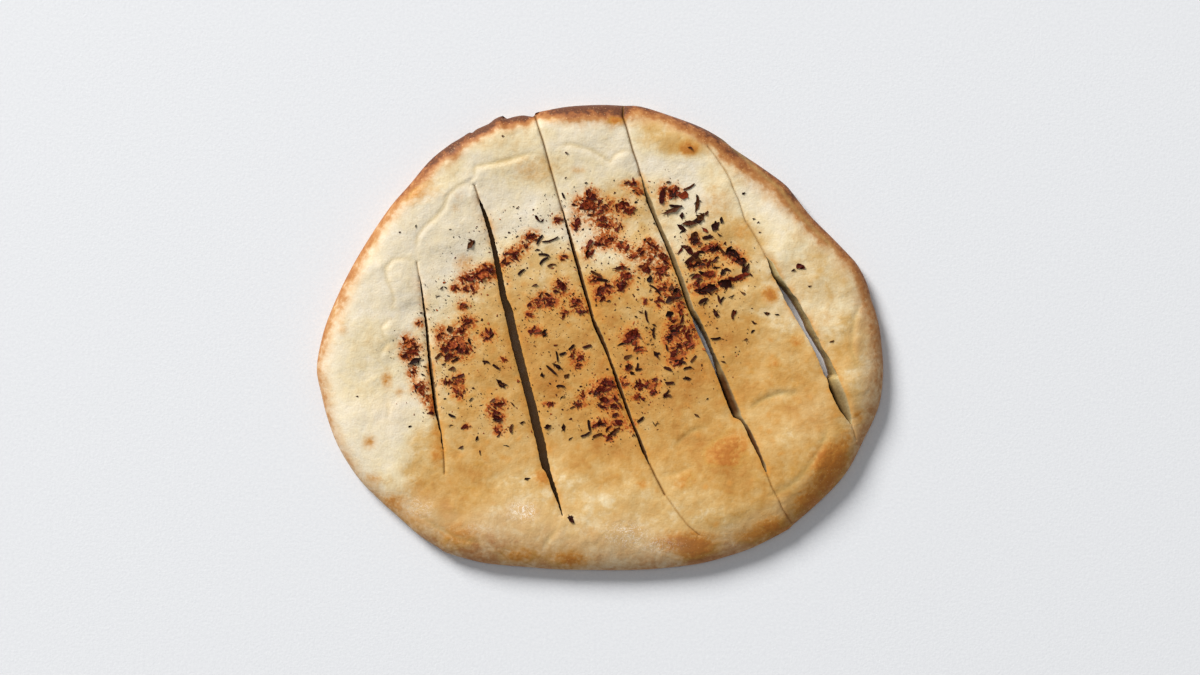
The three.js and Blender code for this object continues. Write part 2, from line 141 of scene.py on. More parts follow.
# The slits, from the left. A row of a gap is y, left, right and, where it isn't the slit's own share, the
# share of that width that is open at the gap's foot. Baked is how dark brown the walls are painted: partly
# real browning and partly painted shade deep in the gap. A closed stretch is the share of a full groove that
# is left where the cut healed, and the line along which it healed.
SLITS = [
    {
        "through": False,
        "share": 0.2,
        "baked": 0.95,
        "gap": [
            (30, -89.3, -89.1), (25, -88.8, -87.9), (15, -87.7, -86.5), (5, -86.5, -85), (-5, -85.8, -84.1),
            (-15, -84.8, -82.8), (-24, -83.7, -81.6), (-30.5, -82.9, -80.9), (-37, -81.9, -80),
            (-41, -80.8, -79.4), (-45, -79.8, -78.7), (-48, -78.8, -78.2), (-51, -78.9, -77.9),
            (-56, -77.6, -77.3),
        ],
        "closed": [
            (0.45, [(-90.5, 37), (-89.9, 33), (-89.2, 29)]),
            (0.5, [(-77.5, -55), (-77, -61), (-76.8, -67)]),
        ],
    },
    {
        "through": False,
        "share": 0.9,
        "baked": 0.5,
        "gap": [
            (68.5, -59.9, -59.5), (66, -59.6, -58.2), (60, -57.8, -55.6), (50, -54.9, -52.6),
            (40, -52.9, -50.2), (30, -51.1, -48.1), (20, -49.5, -46.2), (14, -47.8, -43.3),
            (5, -45.8, -41.4), (-5, -43.7, -39), (-15, -40.9, -36.5), (-24, -38.5, -34.2),
            (-34, -35.9, -31.4), (-43, -34, -29.4), (-53, -31.4, -26.8), (-60, -30, -25.8),
            (-64.5, -28.9, -24.7), (-66, -27.4, -24.6), (-70, -25.5, -23.3), (-75, -24, -21.6),
            (-81, -21.3, -20), (-89, -18.5, -18.1),
        ],
        "closed": [(0.8, [(-62, 75), (-60.6, 71), (-59.7, 67.5)])],
    },
    {
        "through": False,
        "share": 0.2,
        "baked": 1,
        "gap": [
            (64, -18.9, -18.5), (56.5, -17.4, -16), (49.5, -15.6, -13.8), (42.4, -13.8, -11.8),
            (36, -12, -9.8), (27, -9.6, -7.4), (15, -5.9, -4.1), (9, -4.4, -2.6),
            (4.7, -3, -0.3), (-1, -0.3, 2.3), (-5, 1.6, 3.8), (-11.3, 4.2, 5.8),
            (-17.7, 6.4, 8.3), (-24, 8.3, 10.7), (-30.5, 10.9, 12.8), (-37, 13.1, 15.1),
            (-43.3, 15.7, 17.3), (-49.7, 18.3, 20.2), (-56, 20.4, 22.8), (-63, 24.2, 24.7),
        ],
        "closed": [
            (1, [(-33.3, 114), (-30.8, 105), (-27.9, 96.3), (-24.7, 84.4), (-22.8, 77.7), (-20.5, 69.4),
                 (-18.6, 63)]),
            (1, [(24.5, -62.6), (27.6, -69.1), (32.1, -77.8)]),
            (0.45, [(31.6, -77), (35.3, -82), (39.7, -88.3), (44, -93.6), (48.7, -97.6)]),
        ],
    },
    {
        "through": True,
        "share": 0.1,
        "baked": 0.75,
        "gap": [
            (81, 20, 20.4), (72.6, 21.7, 23.4), (66.8, 23.1, 26.3), (60, 26, 28.5), (54, 28.5, 31.1),
            (48, 31.1, 34), (41, 34, 37.2), (34.7, 36.2, 39.5), (29, 38.5, 41.7), (23, 40.5, 43.8),
            (14.4, 43.3, 46.7), (10, 45.5, 49.4, 0.2), (4.7, 47.2, 51.7, 0.4), (-0.4, 49.6, 54, 0.48),
            (-5, 51.7, 55.6, 0.5), (-10, 54, 57.8, 0.46), (-15, 56.2, 60.4, 0.25),
            (-20, 58.1, 62.9, 0.12), (-30.5, 62, 67.2), (-37, 64.6, 70), (-39.6, 66, 70.6),
            (-40.8, 69.4, 71.4), (-44.6, 71.7, 73.9), (-50, 73.8, 76.7), (-55, 76.4, 78.7),
            (-60, 79, 80.5), (-63.3, 80.1, 82.2), (-67, 82, 82.5),
        ],
        "closed": [
            (1, [(11.5, 116), (11.4, 109), (13.1, 104), (16.3, 92.4), (18.6, 86), (20.2, 80.2)]),
            (0.5, [(82.2, -66.6), (85.1, -74.2), (88.6, -80.6), (90.5, -85), (93.7, -90), (97, -95)]),
        ],
    },
    {
        "through": True,
        "share": 0.1,
        "baked": 0.15,
        "gap": [
            (40, 82, 82.4), (36.6, 83.3, 86), (31.5, 84.7, 88.6), (26.4, 87.7, 92.1, 0.25),
            (21.3, 90.3, 95.6, 0.5), (18.8, 91.2, 98, 0.5), (13, 94.7, 100.8, 0.55), (8, 97.6, 104, 0.5),
            (3.5, 100.4, 105.9, 0.4), (-0.4, 102.6, 108, 0.45), (-5, 105.1, 109.9, 0.55),
            (-10, 107.5, 113.4, 0.55), (-15, 109.4, 115.7, 0.5), (-18.6, 110.8, 117.6, 0.4),
            (-20.6, 112.4, 118.4, 0.12), (-25.4, 113.2, 120.6), (-30.5, 115.5, 122.6),
            (-35.6, 118.1, 123.9), (-40, 121.6, 124.7), (-43.5, 124.3, 124.9),
        ],
        "closed": [
            (0.5, [(53.3, 94.4), (57.2, 89.6), (62.6, 81.5), (64.6, 77.7), (66.2, 73.2), (68.7, 68.1),
                   (71.9, 57.8), (77.1, 49.5), (82.1, 40.2)]),
            (0.3, [(124.6, -43.4), (126, -47), (127.1, -51)]),
        ],
    },
]

# Browned spots: x, y, half width, half height, strength.
TOAST = [
    (-94, 73, 11, 5, 0.5), (-113, 48, 3, 3, 0.3), (-133, 14, 3, 4, 0.3), (-127, 4, 3, 3, 0.3),
    (-105.5, -21, 2.2, 4, 0.55), (-99, -27, 2, 2, 0.4), (-114, -52, 3.2, 3.2, 0.45),
    (-81, -46, 2, 2.4, 0.6), (-80, -57, 3.4, 7, 0.6), (-112, -70, 4, 3, 0.4), (-103, -82, 6, 4, 0.6),
    (-67, 37, 4.5, 3.5, 0.45), (-71, 64, 2.4, 2, 0.25), (-69, 70, 2, 2, 0.25), (-35, 83, 9, 6, 0.28),
    (-11, 83, 3.4, 1.8, 0.35), (-24, 108, 3, 2, 0.45), (8, 108, 3.4, 2.2, 1.0), (18, 112, 3, 2, 0.4),
    (44, 93.5, 4, 3, 0.9), (57, 66, 8, 7, 0.3), (70, 52, 5, 4, 0.4), (84, 21, 3.4, 3.2, 0.85),
    (97, -2, 3.4, 2.8, 0.6), (86, -13, 4, 3, 0.5), (63, -14, 2, 2, 0.5), (75, -17, 2, 2, 0.4),
    (97, -23, 2, 2, 0.45), (87, -31, 2.4, 2, 0.4), (98, -32, 2, 2, 0.35), (105, -27, 2, 2, 0.35),
    (128, -39, 2.6, 3, 0.6), (62, -58, 9, 7, 0.85), (68, -50, 5, 5, 0.45), (40, -72, 4, 3, 0.5),
    (44, -68, 3, 2, 0.4), (21, -72, 3, 2.4, 0.5), (8, -67, 3.4, 2.4, 0.3), (-28, -69, 4, 4, 0.7),
    (-48, -60, 3, 2.4, 0.4), (-60, -62, 3, 2.4, 0.4), (-64, -76, 8, 5, 0.35), (-88, -74, 6, 5, 0.4),
    (-95, -92, 8, 5, 0.4), (-70, -98, 9, 6, 0.6), (-40, -108, 9, 4, 0.6), (-15, -110, 8, 4, 0.7),
    (48, -104, 8, 6, 1.0), (75, -100, 8, 5, 0.6), (85, -93, 6, 5, 0.5), (105, -82, 8, 6, 0.9),
    (118, -60, 5, 8, 0.8), (122, -50, 4, 5, 0.4), (102, -88, 5, 4, 0.5), (96, 70, 4, 3, 0.5),
    (50, 104, 4, 2.6, 0.7), (57, 101, 4, 2.4, 0.7), (27, -52, 4, 3, 0.25), (-12, -48, 5, 4, 0.25),
    (96, -66, 5, 4, 0.3), (118, -8, 3, 3, 0.3), (112, 10, 3, 4, 0.25), (76, -70, 6, 4, 0.3),
    (-5, -96, 6, 3, 0.25), (36, -101, 8, 4, 0.65), (110, -60, 6, 6, 0.75), (112, -72, 6, 7, 0.8),
    (92, -96, 9, 4, 0.8),
]

# Where the inside of a slit is painted darker than elsewhere in it, partly as real scorching and partly as
# painted shade deep in the gap: x, y, half width, half height, strength.
SCORCHED_AND_SHADED = [(64, -28, 9, 17, 1), (76, -54, 8, 17, 1), (119, -33, 8, 14, 0.6)]

# How dark the rim is painted: real browning, and in part painted shade where the rim curves down, as along
# the left side. Angle anticlockwise from +X in degrees, width of the band, strength.
RIM_BROWNING_AND_SHADE = [
    (0, 12, 0.46), (12, 8, 0.6), (20, 8, 0.68), (32, 9.6, 0.74), (48, 9.2, 0.84), (60, 8, 0.95),
    (68, 6.5, 0.9), (75, 6, 0.82), (79, 7, 0.88), (83.5, 8, 0.95), (84.5, 9, 1.3), (95, 8.5, 1.25),
    (104, 6, 0.8), (106, 4.5, 0.6), (110, 6.2, 1.2), (116, 5.8, 1.15), (122, 6.2, 1.1), (128, 7.6, 1.12),
    (134, 7, 0.88), (145, 7.3, 0.6), (152, 6.8, 0.54), (165, 6.8, 0.52), (180, 8.5, 0.48),
    (200, 5, 0.36), (213, 7, 0.32), (222, 12, 0.35), (232, 17, 0.41), (240, 25, 0.46), (248, 22, 0.42),
    (262, 21, 0.38), (275, 19, 0.33), (286, 15, 0.38), (291, 14, 0.46), (295, 14, 0.58), (299, 14, 0.47),
    (312, 13, 0.5), (325, 12, 0.52), (337, 10, 0.45), (348, 11, 0.44),
]

PALEST = 0.12  # how golden the crust is where it is cream

# Where the crust is golden and oily instead of cream: x, y, half width, half height, strength.
GOLDEN = [
    (0, -8, 84, 48, 0.64), (-6, -18, 64, 34, 0.42), (0, -80, 112, 36, 0.42), (-74, -62, 22, 32, 0.5),
    (20, -58, 44, 16, 0.4), (86, -46, 50, 52, 0.54), (112, -8, 30, 50, 0.2), (18, 62, 20, 18, 0.35),
    (62, 30, 26, 36, 0.5), (-36, 40, 24, 12, 0.25), (-84, 82, 16, 10, 0.2), (-36, 84, 22, 10, 0.2),
    (-112, -14, 16, 22, 0.14), (108, 40, 20, 22, 0.2), (42, 102, 26, 13, 0.5), (-10, 78, 22, 14, 0.1),
    (-56, -50, 18, 9, 0.22), (-48, 100, 22, 9, 0.22), (124, 0, 12, 14, 0.3), (60, 80, 12, 10, 0.2),
    (-36, -60, 12, 9, 0.2), (-60, -35, 14, 8, 0.2), (70, 0, 16, 12, 0.15),
]

# Where the skin is glossy, with a painted sheen and painted glints laid on it: x, y, half width, half height,
# strength.
GLOSS_AND_PAINTED_SHEEN = [
    (12, -97, 16, 9, 0.75), (-38, -86, 9, 6, 1.0), (-90, -84, 14, 9, 0.6), (32, -103, 14, 6, 0.6),
    (-60, -94, 14, 7, 0.5), (66, -103, 10, 4, 0.5), (104, -40, 12, 12, 0.3), (-104, -36, 10, 9, 0.4),
]

# Patches of chilli: x, y, half width, half height.
CHILLI_PATCHES = [
    (-95, -2, 3, 3), (-93, -6, 4, 3.5), (-96, -9, 2, 2), (-93, -17, 2, 3), (-89, -25, 3.5, 3),
    (-85, -31, 2.5, 2.5), (-89, 7, 2, 1.5), (-83, -36, 1.5, 2), (-68, 29, 3, 2), (-63, 31, 3, 2),
    (-59, 30, 4, 3), (-56, 34, 3, 2.5), (-53, 32, 2, 2), (-72, 24, 2, 1.5), (-64, 24, 3, 2),
    (-68, 16, 2, 2), (-65, 8, 4, 3), (-69, 3, 3, 3), (-73, -4, 6, 5), (-67, -6, 4, 4), (-75, -9, 3, 2),
    (-55, 1, 4, 3), (-76, -22, 3, 1.2), (-70, -21, 3, 3), (-70, -28, 3, 3), (-51, -33, 5, 3),
    (-50, -40, 3, 2), (-54, -37, 2, 1.5), (-66, -44, 1.5, 1), (-50, -46, 3, 2), (-48, -11, 1.5, 1),
    (-34, 50, 4, 2.5), (-37, 45, 2.5, 2), (-43, 41, 4, 3), (-48, 36, 2, 2), (-21, 58, 1.8, 2),
    (-18, 40, 2, 1.5), (-19, 25, 4, 4), (-28, 19, 5, 3), (-33, 16, 3, 2), (-25, 17, 3, 2),
    (-12, 18, 3, 3), (-9, 14, 3.5, 2.5), (-35, 11, 2, 1.5), (-31, 3, 4, 2.5), (-18, 12, 1.5, 2),
    (-13, -7.5, 2.5, 1.2), (-10, -10, 4, 2), (-12, -14, 3, 1.5), (-25, -33, 3, 1), (0, -25, 6, 4),
    (5, -23, 4, 3), (-9, -29, 2, 1.5), (-10, -33, 3, 2), (2, -32, 3, 3), (7, -33, 4, 3),
    (0, -43, 5, 2.5), (9, -41, 4, 3), (5, -50, 3, 1.5), (-8, 66, 5, 4), (-4, 71, 2.5, 2.5),
    (-3, 63, 4, 3), (2, 66, 3, 3), (-12, 56, 2, 3), (10, 65, 4, 3), (14, 63, 3, 2), (15, 76, 4, 1.5),
    (19, 72, 3, 1.5), (0, 57, 5, 2.5), (6, 55, 5, 2.5), (0, 47, 4, 3), (5, 49, 3, 2), (-6, 42, 2, 3),
    (13, 44, 3, 2), (27, 43, 3, 3), (24, 47, 2, 2), (22, 34, 2.5, 2.5), (10, 26, 4, 3), (13, 30, 3, 2),
    (2, 24, 5, 3), (0, 20, 3, 2), (-3, 29, 3, 2), (30, 32, 4, 4), (33, 37, 3, 3), (36, 22, 4, 3),
    (40, 15, 3, 3), (36, 8, 3, 4), (44, 3, 4, 4), (45, -2, 3, 4), (15, 0, 5, 5), (20, -6, 3, 1.5),
    (33, 0, 2, 3), (37, -9, 4, 4), (38, -13, 3, 1.5), (21, -24, 4, 3), (28, -22, 2, 2),
    (26, -27, 2, 1.5), (19, -30, 3, 1), (14, -15, 2, 2), (12, -22, 2, 2), (22, 18, 1.5, 1.5),
    (16, -44.3, 2, 3), (31, 71, 2, 4), (36, 72, 4, 3), (47, 48, 3, 3), (54, 44, 4, 2), (58, 44, 3, 2),
    (66, 41, 4, 3), (69, 38, 3, 2), (53, 37, 4, 1.5), (47, 35, 3, 2), (55, 31, 4, 2), (68, 29, 4, 1),
    (61, 27, 3, 2), (52, 24, 5, 3), (47, 25, 3, 2), (10, 46, 3, 2), (16, 40, 2.5, 1.5), (11, 35, 2, 1.2),
    (20, 43, 1.5, 2), (25, 38, 1.5, 2), (36, 2, 2.5, 3), (40, -4, 2.5, 3), (31, 25, 3, 2.5),
    (29, 17, 2, 2.5), (-84, -16, 1, 3), (-79, 2, 2, 4),
]

# Orange oil that ran out of the chilli: x, y, half width, half height, strength.
ORANGE_STAINS = [
    (-45, 27, 2, 4, 0.7), (1, 9, 2.4, 3.4, 0.6), (6, -12, 3, 3, 0.6), (-82, 3, 2, 4, 0.4),
    (-22, 7, 3, 3, 0.4), (-33, -8, 3, 3, 0.35), (5, -50, 4, 2, 0.5), (-38, 22, 3, 4, 0.35),
    (12, 56, 4, 3, 0.4), (-50, -2, 3, 3, 0.3), (15, 40, 8, 5, 0.65), (36, 18, 5, 8, 0.6),
    (60, 34, 10, 6, 0.5), (12, 1, 6, 5, 0.7), (-12, 60, 5, 4, 0.6), (20, 27, 6, 5, 0.35),
    (2, -36, 8, 6, 0.4), (38, 0, 6, 9, 0.6), (-70, 4, 6, 8, 0.35), (50, 36, 8, 8, 0.4),
]

# Smaller herb pieces: x, y, length, width, heading in degrees anticlockwise from +X.
HERB_BITS = [
    (-31, 58.9, 3.8, 1.6, -47), (-18.2, 70.2, 2.8, 1, -72), (-87.5, -18.4, 2.4, 1.2, -30),
    (-80.2, 20.4, 2.6, 1.1, 18), (-78.5, 24.6, 2, 1.2, 40), (-76.5, 24.8, 1.8, 1.2, -30),
    (-64.5, -2, 4, 1.6, -76), (-71.8, -11, 4, 1.2, 30), (-80, -9, 4, 1.4, 45),
    (-56.5, -12, 3.2, 1.1, -10), (-51.5, -14.5, 3.6, 1.2, -34), (-77.5, -13, 2.2, 1.2, 20),
    (-82, -22.5, 2.4, 1, 60), (-73.5, -38.6, 3.2, 1.2, -23), (-74, -43.5, 2.4, 1, 10),
    (-64, -30.5, 2.6, 1.1, 40), (-43.5, -33, 2.8, 1.1, -50), (-44, -45, 4, 1.5, 85),
    (-38.5, -42, 2.4, 1.2, 20), (-61, -50, 2.4, 1.2, 60), (-46.5, -53.5, 2.8, 1.4, -10),
    (-69, -54.3, 2.6, 1, 30), (-59.3, -57, 2.2, 1.1, 90), (-36, -69.8, 2.8, 1.3, 15),
    (-15, -88.5, 2.4, 2, 20), (-24, 36.1, 4.2, 2, 10), (-28, 38.2, 5, 1.3, 41),
    (-31, 43.3, 2.6, 1.2, 10), (-39, 32.6, 4, 1.3, 42), (-32.5, 26, 2.8, 1.2, 20),
    (-18.5, -8, 3.2, 1.2, 18), (-14.1, -4.8, 3.6, 1.2, 43), (-6.5, -4.4, 4.2, 1.4, 18),
    (-16.5, -19, 3, 2.4, 40), (-19.5, -24.1, 4, 1.1, -3), (-18.8, -29.6, 2.8, 1.1, 41),
    (-13.7, -34.7, 2.6, 1.2, 10), (-14.5, -50, 2.4, 1.2, 40), (-5.4, -43.5, 5, 1.2, -81),
    (4, 18, 2.2, 1.2, 10), (24.7, 29.5, 3, 2, 70), (30.7, 40.5, 3, 2, 95), (-2, 31.6, 5.4, 1.4, -25),
    (1.2, 28.5, 5.4, 1.3, -10), (26.5, 2.5, 5, 1.1, 88), (28, -8, 3, 2, 30), (33.5, 0, 2.6, 2.4, 0),
    (37, 3.3, 4, 1.3, 0), (46.2, -10.5, 4, 1.2, 50), (34.5, -22.5, 4, 1.5, 5),
    (26.6, -42.7, 2.6, 1, -60), (28, -42.9, 2.4, 1, 62), (20, -40.7, 4, 1.3, 40),
    (47.8, -38.5, 3, 1.2, -31), (14, -14.5, 3, 2.6, 20), (39.5, 21, 4, 2.2, -20), (44, 74.3, 6, 1.2, 28),
    (60, 58, 3, 2, 80), (53, 50, 3, 1.4, 35), (59, 51, 3, 1.2, -35), (54, 44, 4, 2, 8),
    (58.5, 44, 3.2, 1.8, -20), (69, 38, 4.6, 2.6, 10), (59, 18.8, 4, 1.2, -74), (60.2, 18.6, 3.6, 1, 60),
    (65, 20.5, 3, 1.4, 25), (70.5, 22.2, 3, 1.2, -30), (87.5, 11.5, 2, 1.2, 0), (75.5, 3, 2.4, 1.1, 45),
    (72, -1, 2, 1, 20), (61, -12, 2.6, 1, -20), (95.3, 33.3, 2, 1.4, 30), (103.5, 25.5, 1.8, 1.2, 0),
    (114.5, -2, 2.2, 1.2, 20), (76, 58.5, 1.3, 1, 0), (78, 57, 1.4, 1, 45), (79, 52, 1.2, 1, 0),
    (71, 71.3, 1.8, 1.2, 30), (-91, 55, 1.4, 1, 80), (-99, 52, 1, 0.8, 0), (-74, 53.5, 1.2, 0.9, 0),
    (-16.5, 91.2, 1.4, 1.2, 0), (-41, 64, 1.2, 1, 0), (-45, 52, 1.2, 1, 0), (-29, 57.5, 1.4, 0.8, 0),
    (-17, 79, 1.2, 0.8, 60), (-7, 76.5, 1.4, 1, 0), (-48, 99.5, 1.3, 1, 0), (-94, -44, 1.6, 0.9, 20),
    (-120, -29, 1.2, 1, 0), (44.4, 93.6, 2.4, 1.4, -20), (31, 33.6, 3, 1.6, 60),
    (50.5, 32, 3.6, 1.8, -15), (45.5, 31, 3, 1.6, 30), (57.5, 34.5, 4, 1.6, 5),
    (63, 33.6, 3.4, 1.6, -12), (49, 28.4, 3.4, 2, 15), (43, 36.5, 3, 2, -60), (50, 42.4, 4, 2, -18),
    (40.6, 52.4, 3, 1.4, 30), (52.6, 61.6, 2.4, 1.4, 60), (33.8, 76.7, 2.5, 1.5, 10),
    (37.5, 65, 6, 1.3, -5), (48.6, 58.3, 5.5, 5, 20), (40.5, 54.6, 5, 3, -30), (46.5, 49.2, 6, 4.5, 60),
    (53.3, 49.6, 5, 1.8, 10), (45.8, 39.2, 8, 2.4, 38), (56.7, 44.2, 5, 3, 35),
    (60.4, 43.3, 5, 2.5, -40), (63.5, 43, 5, 3, 60), (68.5, 38.5, 5, 3, -50), (70, 37.5, 4, 2.6, 0),
    (72.5, 34.2, 5, 2, 60), (74.6, 31.2, 2, 1, -60), (48.8, 35.8, 6, 3.4, 20), (45, 35.4, 4, 1, 20),
    (60.8, 31.7, 4, 3.4, 50), (57.5, 39.2, 3, 1.4, 30), (61.7, 26.7, 7, 5, -20), (50, 22.5, 6, 3.5, -15),
    (55, 24.5, 5, 3, 40), (51, 18.3, 5, 1.8, 30), (51.7, 16.7, 3, 1.2, 60), (35, 25, 4, 2.6, 70),
    (35.8, 19.2, 7, 4, 20), (37.5, 20.6, 5, 1.6, 45), (34.2, 11.7, 4, 3, 30), (26.5, 6.2, 2, 1.2, -20),
    (25.8, 3.5, 2.6, 1.2, -50), (26.5, 1.2, 2, 1, -30), (25, -1.2, 1.6, 0.8, 60),
    (23.5, -3.1, 1.6, 1, 0), (25.8, -3.5, 1.4, 0.9, 0), (23, 5, 1.4, 1, 0), (20, 12.7, 2, 1.2, 0),
    (17.7, 10.4, 1.5, 1, -30), (27.7, -8.1, 3.6, 2, -50), (34.2, -0.8, 4, 3, 70), (33, -5, 3, 1, -80),
    (39.6, -11.9, 5, 1.5, -10), (33.5, -15.4, 4, 1.5, -20), (13.8, -9.6, 4, 2.6, 30),
    (14.2, -14.2, 3.6, 3.2, 0), (18.5, -14.2, 3, 1, 80), (19, -15.8, 3, 1, 10),
    (15.8, -17.7, 2.6, 1.8, -30), (10.4, -3.5, 4, 1.8, 15), (24.6, 28.8, 3, 2.8, 40),
    (19.2, 29.6, 1.3, 1.2, 0), (16.5, 20.8, 1.8, 0.8, -75),
]

# Larger torn skins of chilli: x, y, length, width, heading in degrees anticlockwise from +X.
CHILLI_BITS = [
    (30.8, 70, 7, 2.6, 80), (36.7, 70.5, 6, 4, 35), (40.8, 70.4, 5, 4, 0), (52, 53.2, 4, 2, -40),
    (43.8, 43.3, 5.5, 3.6, -32), (39.4, 43, 4, 2.2, 60), (52.9, 44.6, 6, 3, 20), (47, 41.5, 4, 1.6, 35),
    (70.8, 30.8, 6, 2, 15), (66.7, 29.2, 6, 2, 5), (51.7, 31.7, 5, 3, -20), (47.5, 30, 5, 3, 20),
    (55, 31, 4, 2.4, 60), (66.3, 11.3, 4.5, 1.8, 60), (30.4, 40.8, 3.4, 3, 0), (23, 35, 4.6, 3.4, 70),
    (30.8, 34.2, 5, 3, 80), (10.4, 25.4, 4.4, 4, 0), (13.5, 30.4, 4, 3, 40), (-0.4, 23.5, 4, 3, 60),
    (22.7, 33.8, 3.4, 3, 0), (20.4, -6.5, 5, 2, 0), (15.4, 0.4, 5, 4, 40), (17.5, 2, 5, 3, -50),
    (13.4, -1.5, 4, 3, 10), (36.9, -8.1, 5, 4, 60), (36, -11, 4, 3, -20), (43.4, 0.4, 5, 4, -60),
    (40.4, 9, 5, 3, 70), (39, 5, 4, 3, 20), (-8, 66, 6, 3, 50), (-4, 69, 5, 3, -10),
    (-3, 64, 5, 2.5, 20), (-11.5, 57, 4.5, 3, 70), (11, 65, 5, 3, -30), (14, 62, 4, 2.5, -10),
    (-5.5, 46, 5, 2, 60), (-4, 42, 4, 2.6, 50), (4, 48, 4, 2, 20), (-21.5, 58, 3.6, 2.2, -60),
    (-73, -3, 5, 3, 20), (-70, -6, 5, 3, -40), (-76, -6, 4, 3, 60), (-66, 8, 4, 3, 10),
    (-68, 3, 4, 2, 50), (-59, 30, 4, 3, 0), (-64, 29, 4, 2.4, 30), (-55, 33, 3, 3, -20),
    (-95, -3, 4, 2.6, 0), (-93, -7, 4, 3, 30), (-88.5, -25, 4, 2.6, 60), (-50, -33, 5, 3, 10),
    (-51, -37, 3, 2, 0), (-42, 41, 4, 2.6, 40), (-46, 37, 3.5, 2, 10), (-34, 50, 4, 2, 30),
    (-19, 25, 4.4, 3.4, -30), (-27, 19, 4, 2.6, 10), (-31, 3, 4, 2, 20), (-11, 17, 3, 3, -50),
    (-10, 13, 4, 2.4, 0), (-10, -10, 4, 2.4, 30), (1, -25, 5, 4, 20), (4, -22, 4, 2.4, -40),
    (-2, -27, 4, 2.6, 60), (2, -31, 4, 3, 0), (7, -34, 4, 2.6, -20), (-1, -43, 5, 2.6, 10),
    (9, -42, 4, 3, -30), (4, -45, 4, 2.4, 50), (21, -24, 4, 3, 0), (26, -27, 3, 1.6, 10),
]

# The oval that fine seasoning is thrown over, beside the patches: x, y, half width, half height.
SPECKLED = (-8, 10, 84, 62)
CHIP_SUNK = 0.12  # how far crumbs and specks are sunk in the crust

# The sorts of flake: thickness, lift of the ends, lift of the sides, crumple, how many shards lie on it.
FLAKE_BUILDS = {
    "leaf": (0.26, 0.45, 0.6, 0.3, 2),
    "shard": (0.28, 0.4, 0.35, 0.35, 2),
    "stem": (0.48, 0.5, -0.3, 0.1, 0),
    "chilli": (0.38, 0.4, 0.3, 0.5, 3),
    "shred": (0.33, 0.3, 0.2, 0.4, 0),
}
FLAKE_KINDS = {"herb_leaf": "leaf", "herb_shard": "shard", "herb_stem": "stem", "chilli_flake": "chilli"}

# How far a flake's side reaches along its length, as the least and most share of its half width.
SIDE_REACHES = {
    "leaf": [(0.3, 0.7), (0.7, 1.1), (0.5, 1), (0.2, 0.5)],
    "stem": [(0.1, 0.8), *4 * [(0.7, 1)], (0, 0.6)],
    "chilli": [(0.1, 0.6), *5 * [(0.5, 1.15)], (0.1, 0.6)],
}


# Small helpers for shapes and fields.

def smoothstep(low, high, value):
    """A soft step from 0 at low to 1 at high."""
    share = np.clip((value - low) / (high - low), 0, 1)
    return share * share * (3 - 2 * share)


def resample(points, step, closed=False):
    """Points about step apart along straight lines through the points given."""
    line = np.asarray(points, float)
    if closed:
        line = np.vstack([line, line[:1]])
    along = np.concatenate([[0], np.cumsum(np.linalg.norm(np.diff(line, axis=0), axis=1))])
    count = max(2, int(round(along[-1] / step)) + 1)
    marks = np.linspace(0, along[-1], count)
    if closed:
        marks = marks[:-1]
    return np.stack([np.interp(marks, along, line[:, k]) for k in range(line.shape[1])], axis=1)


def smooth_loop(points, step):
    """A closed Catmull-Rom curve through the points, with a point every step."""
    corners = np.asarray(points, float)
    before, after, later = np.roll(corners, 1, 0), np.roll(corners, -1, 0), np.roll(corners, -2, 0)
    shares = np.linspace(0, 1, 8, endpoint=False)[:, None, None]
    curve = 0.5 * (
        2 * corners
        + (after - before) * shares
        + (2 * before - 5 * corners + 4 * after - later) * shares**2
        + (3 * corners - before - 3 * after + later) * shares**3
    )
    return resample(curve.transpose(1, 0, 2).reshape(-1, 2), step, closed=True)


def left_of(ahead):
    """Unit vectors to the left of the directions given."""
    return np.stack([-ahead[:, 1], ahead[:, 0]], axis=1) / np.linalg.norm(ahead, axis=1)[:, None]


def distance_to_line(points, line, closed=False):
    """Each point's distance to a line of straight stretches, positive on its left, how far along the line
    its nearest place is, and how long the line is."""
    line = np.asarray(line, float)
    starts = line if closed else line[:-1]
    ends = np.roll(line, -1, 0) if closed else line[1:]
    best = np.full(len(points), np.inf)
    side = np.ones(len(points))
    along = np.zeros(len(points))
    passed = 0.0
    for start, end in zip(starts, ends):
        run = end - start
        length = np.hypot(*run)
        offset = points - start
        share = np.clip(offset @ run / length**2, 0, 1)
        away = np.hypot(*(offset - share[:, None] * run).T)
        nearer = away < best
        best = np.where(nearer, away, best)
        side = np.where(nearer, np.sign(run[0] * offset[:, 1] - run[1] * offset[:, 0]), side)
        along = np.where(nearer, passed + share * length, along)
        passed += length
    return best * side, along, passed


def spots(points, rows, level=False):
    """A field from 0 to 1 that is high inside soft ovals: x, y, half width, half height, strength.
    A level oval keeps its strength nearly to its edge."""
    field = np.zeros(len(points))
    for x, y, wide, high, strength in rows:
        away = ((points[:, 0] - x) / wide) ** 2 + ((points[:, 1] - y) / high) ** 2
        share = 1 - smoothstep(0.55, 1.3, np.sqrt(away)) if level else np.exp(-away)
        field = 1 - (1 - field) * (1 - strength * share)
    return field


def rough(points, scale, octaves=3, seed=0.0):
    """Smooth noise from about -1 to 1 whose lumps are about scale wide."""
    return np.array([
        noise.fractal(Vector((x / scale, y / scale, seed)), 0.9, 2.0, octaves) for x, y in points[:, :2]
    ])


def in_polygon(points, outline):
    """Whether each point is inside the outline, by counting the sides that a ray crosses."""
    inside = np.zeros(len(points), bool)
    for start, end in zip(outline, np.roll(outline, -1, 0)):
        straddles = (start[1] > points[:, 1]) != (end[1] > points[:, 1])
        rise = end[1] - start[1] or 1e-12
        crossing = start[0] + (points[:, 1] - start[1]) / rise * (end[0] - start[0])
        inside ^= straddles & (points[:, 0] < crossing)
    return inside


EDGE_LINE = smooth_loop(OUTLINE, EDGE_STEP)
COARSE_EDGE = EDGE_LINE[::3]


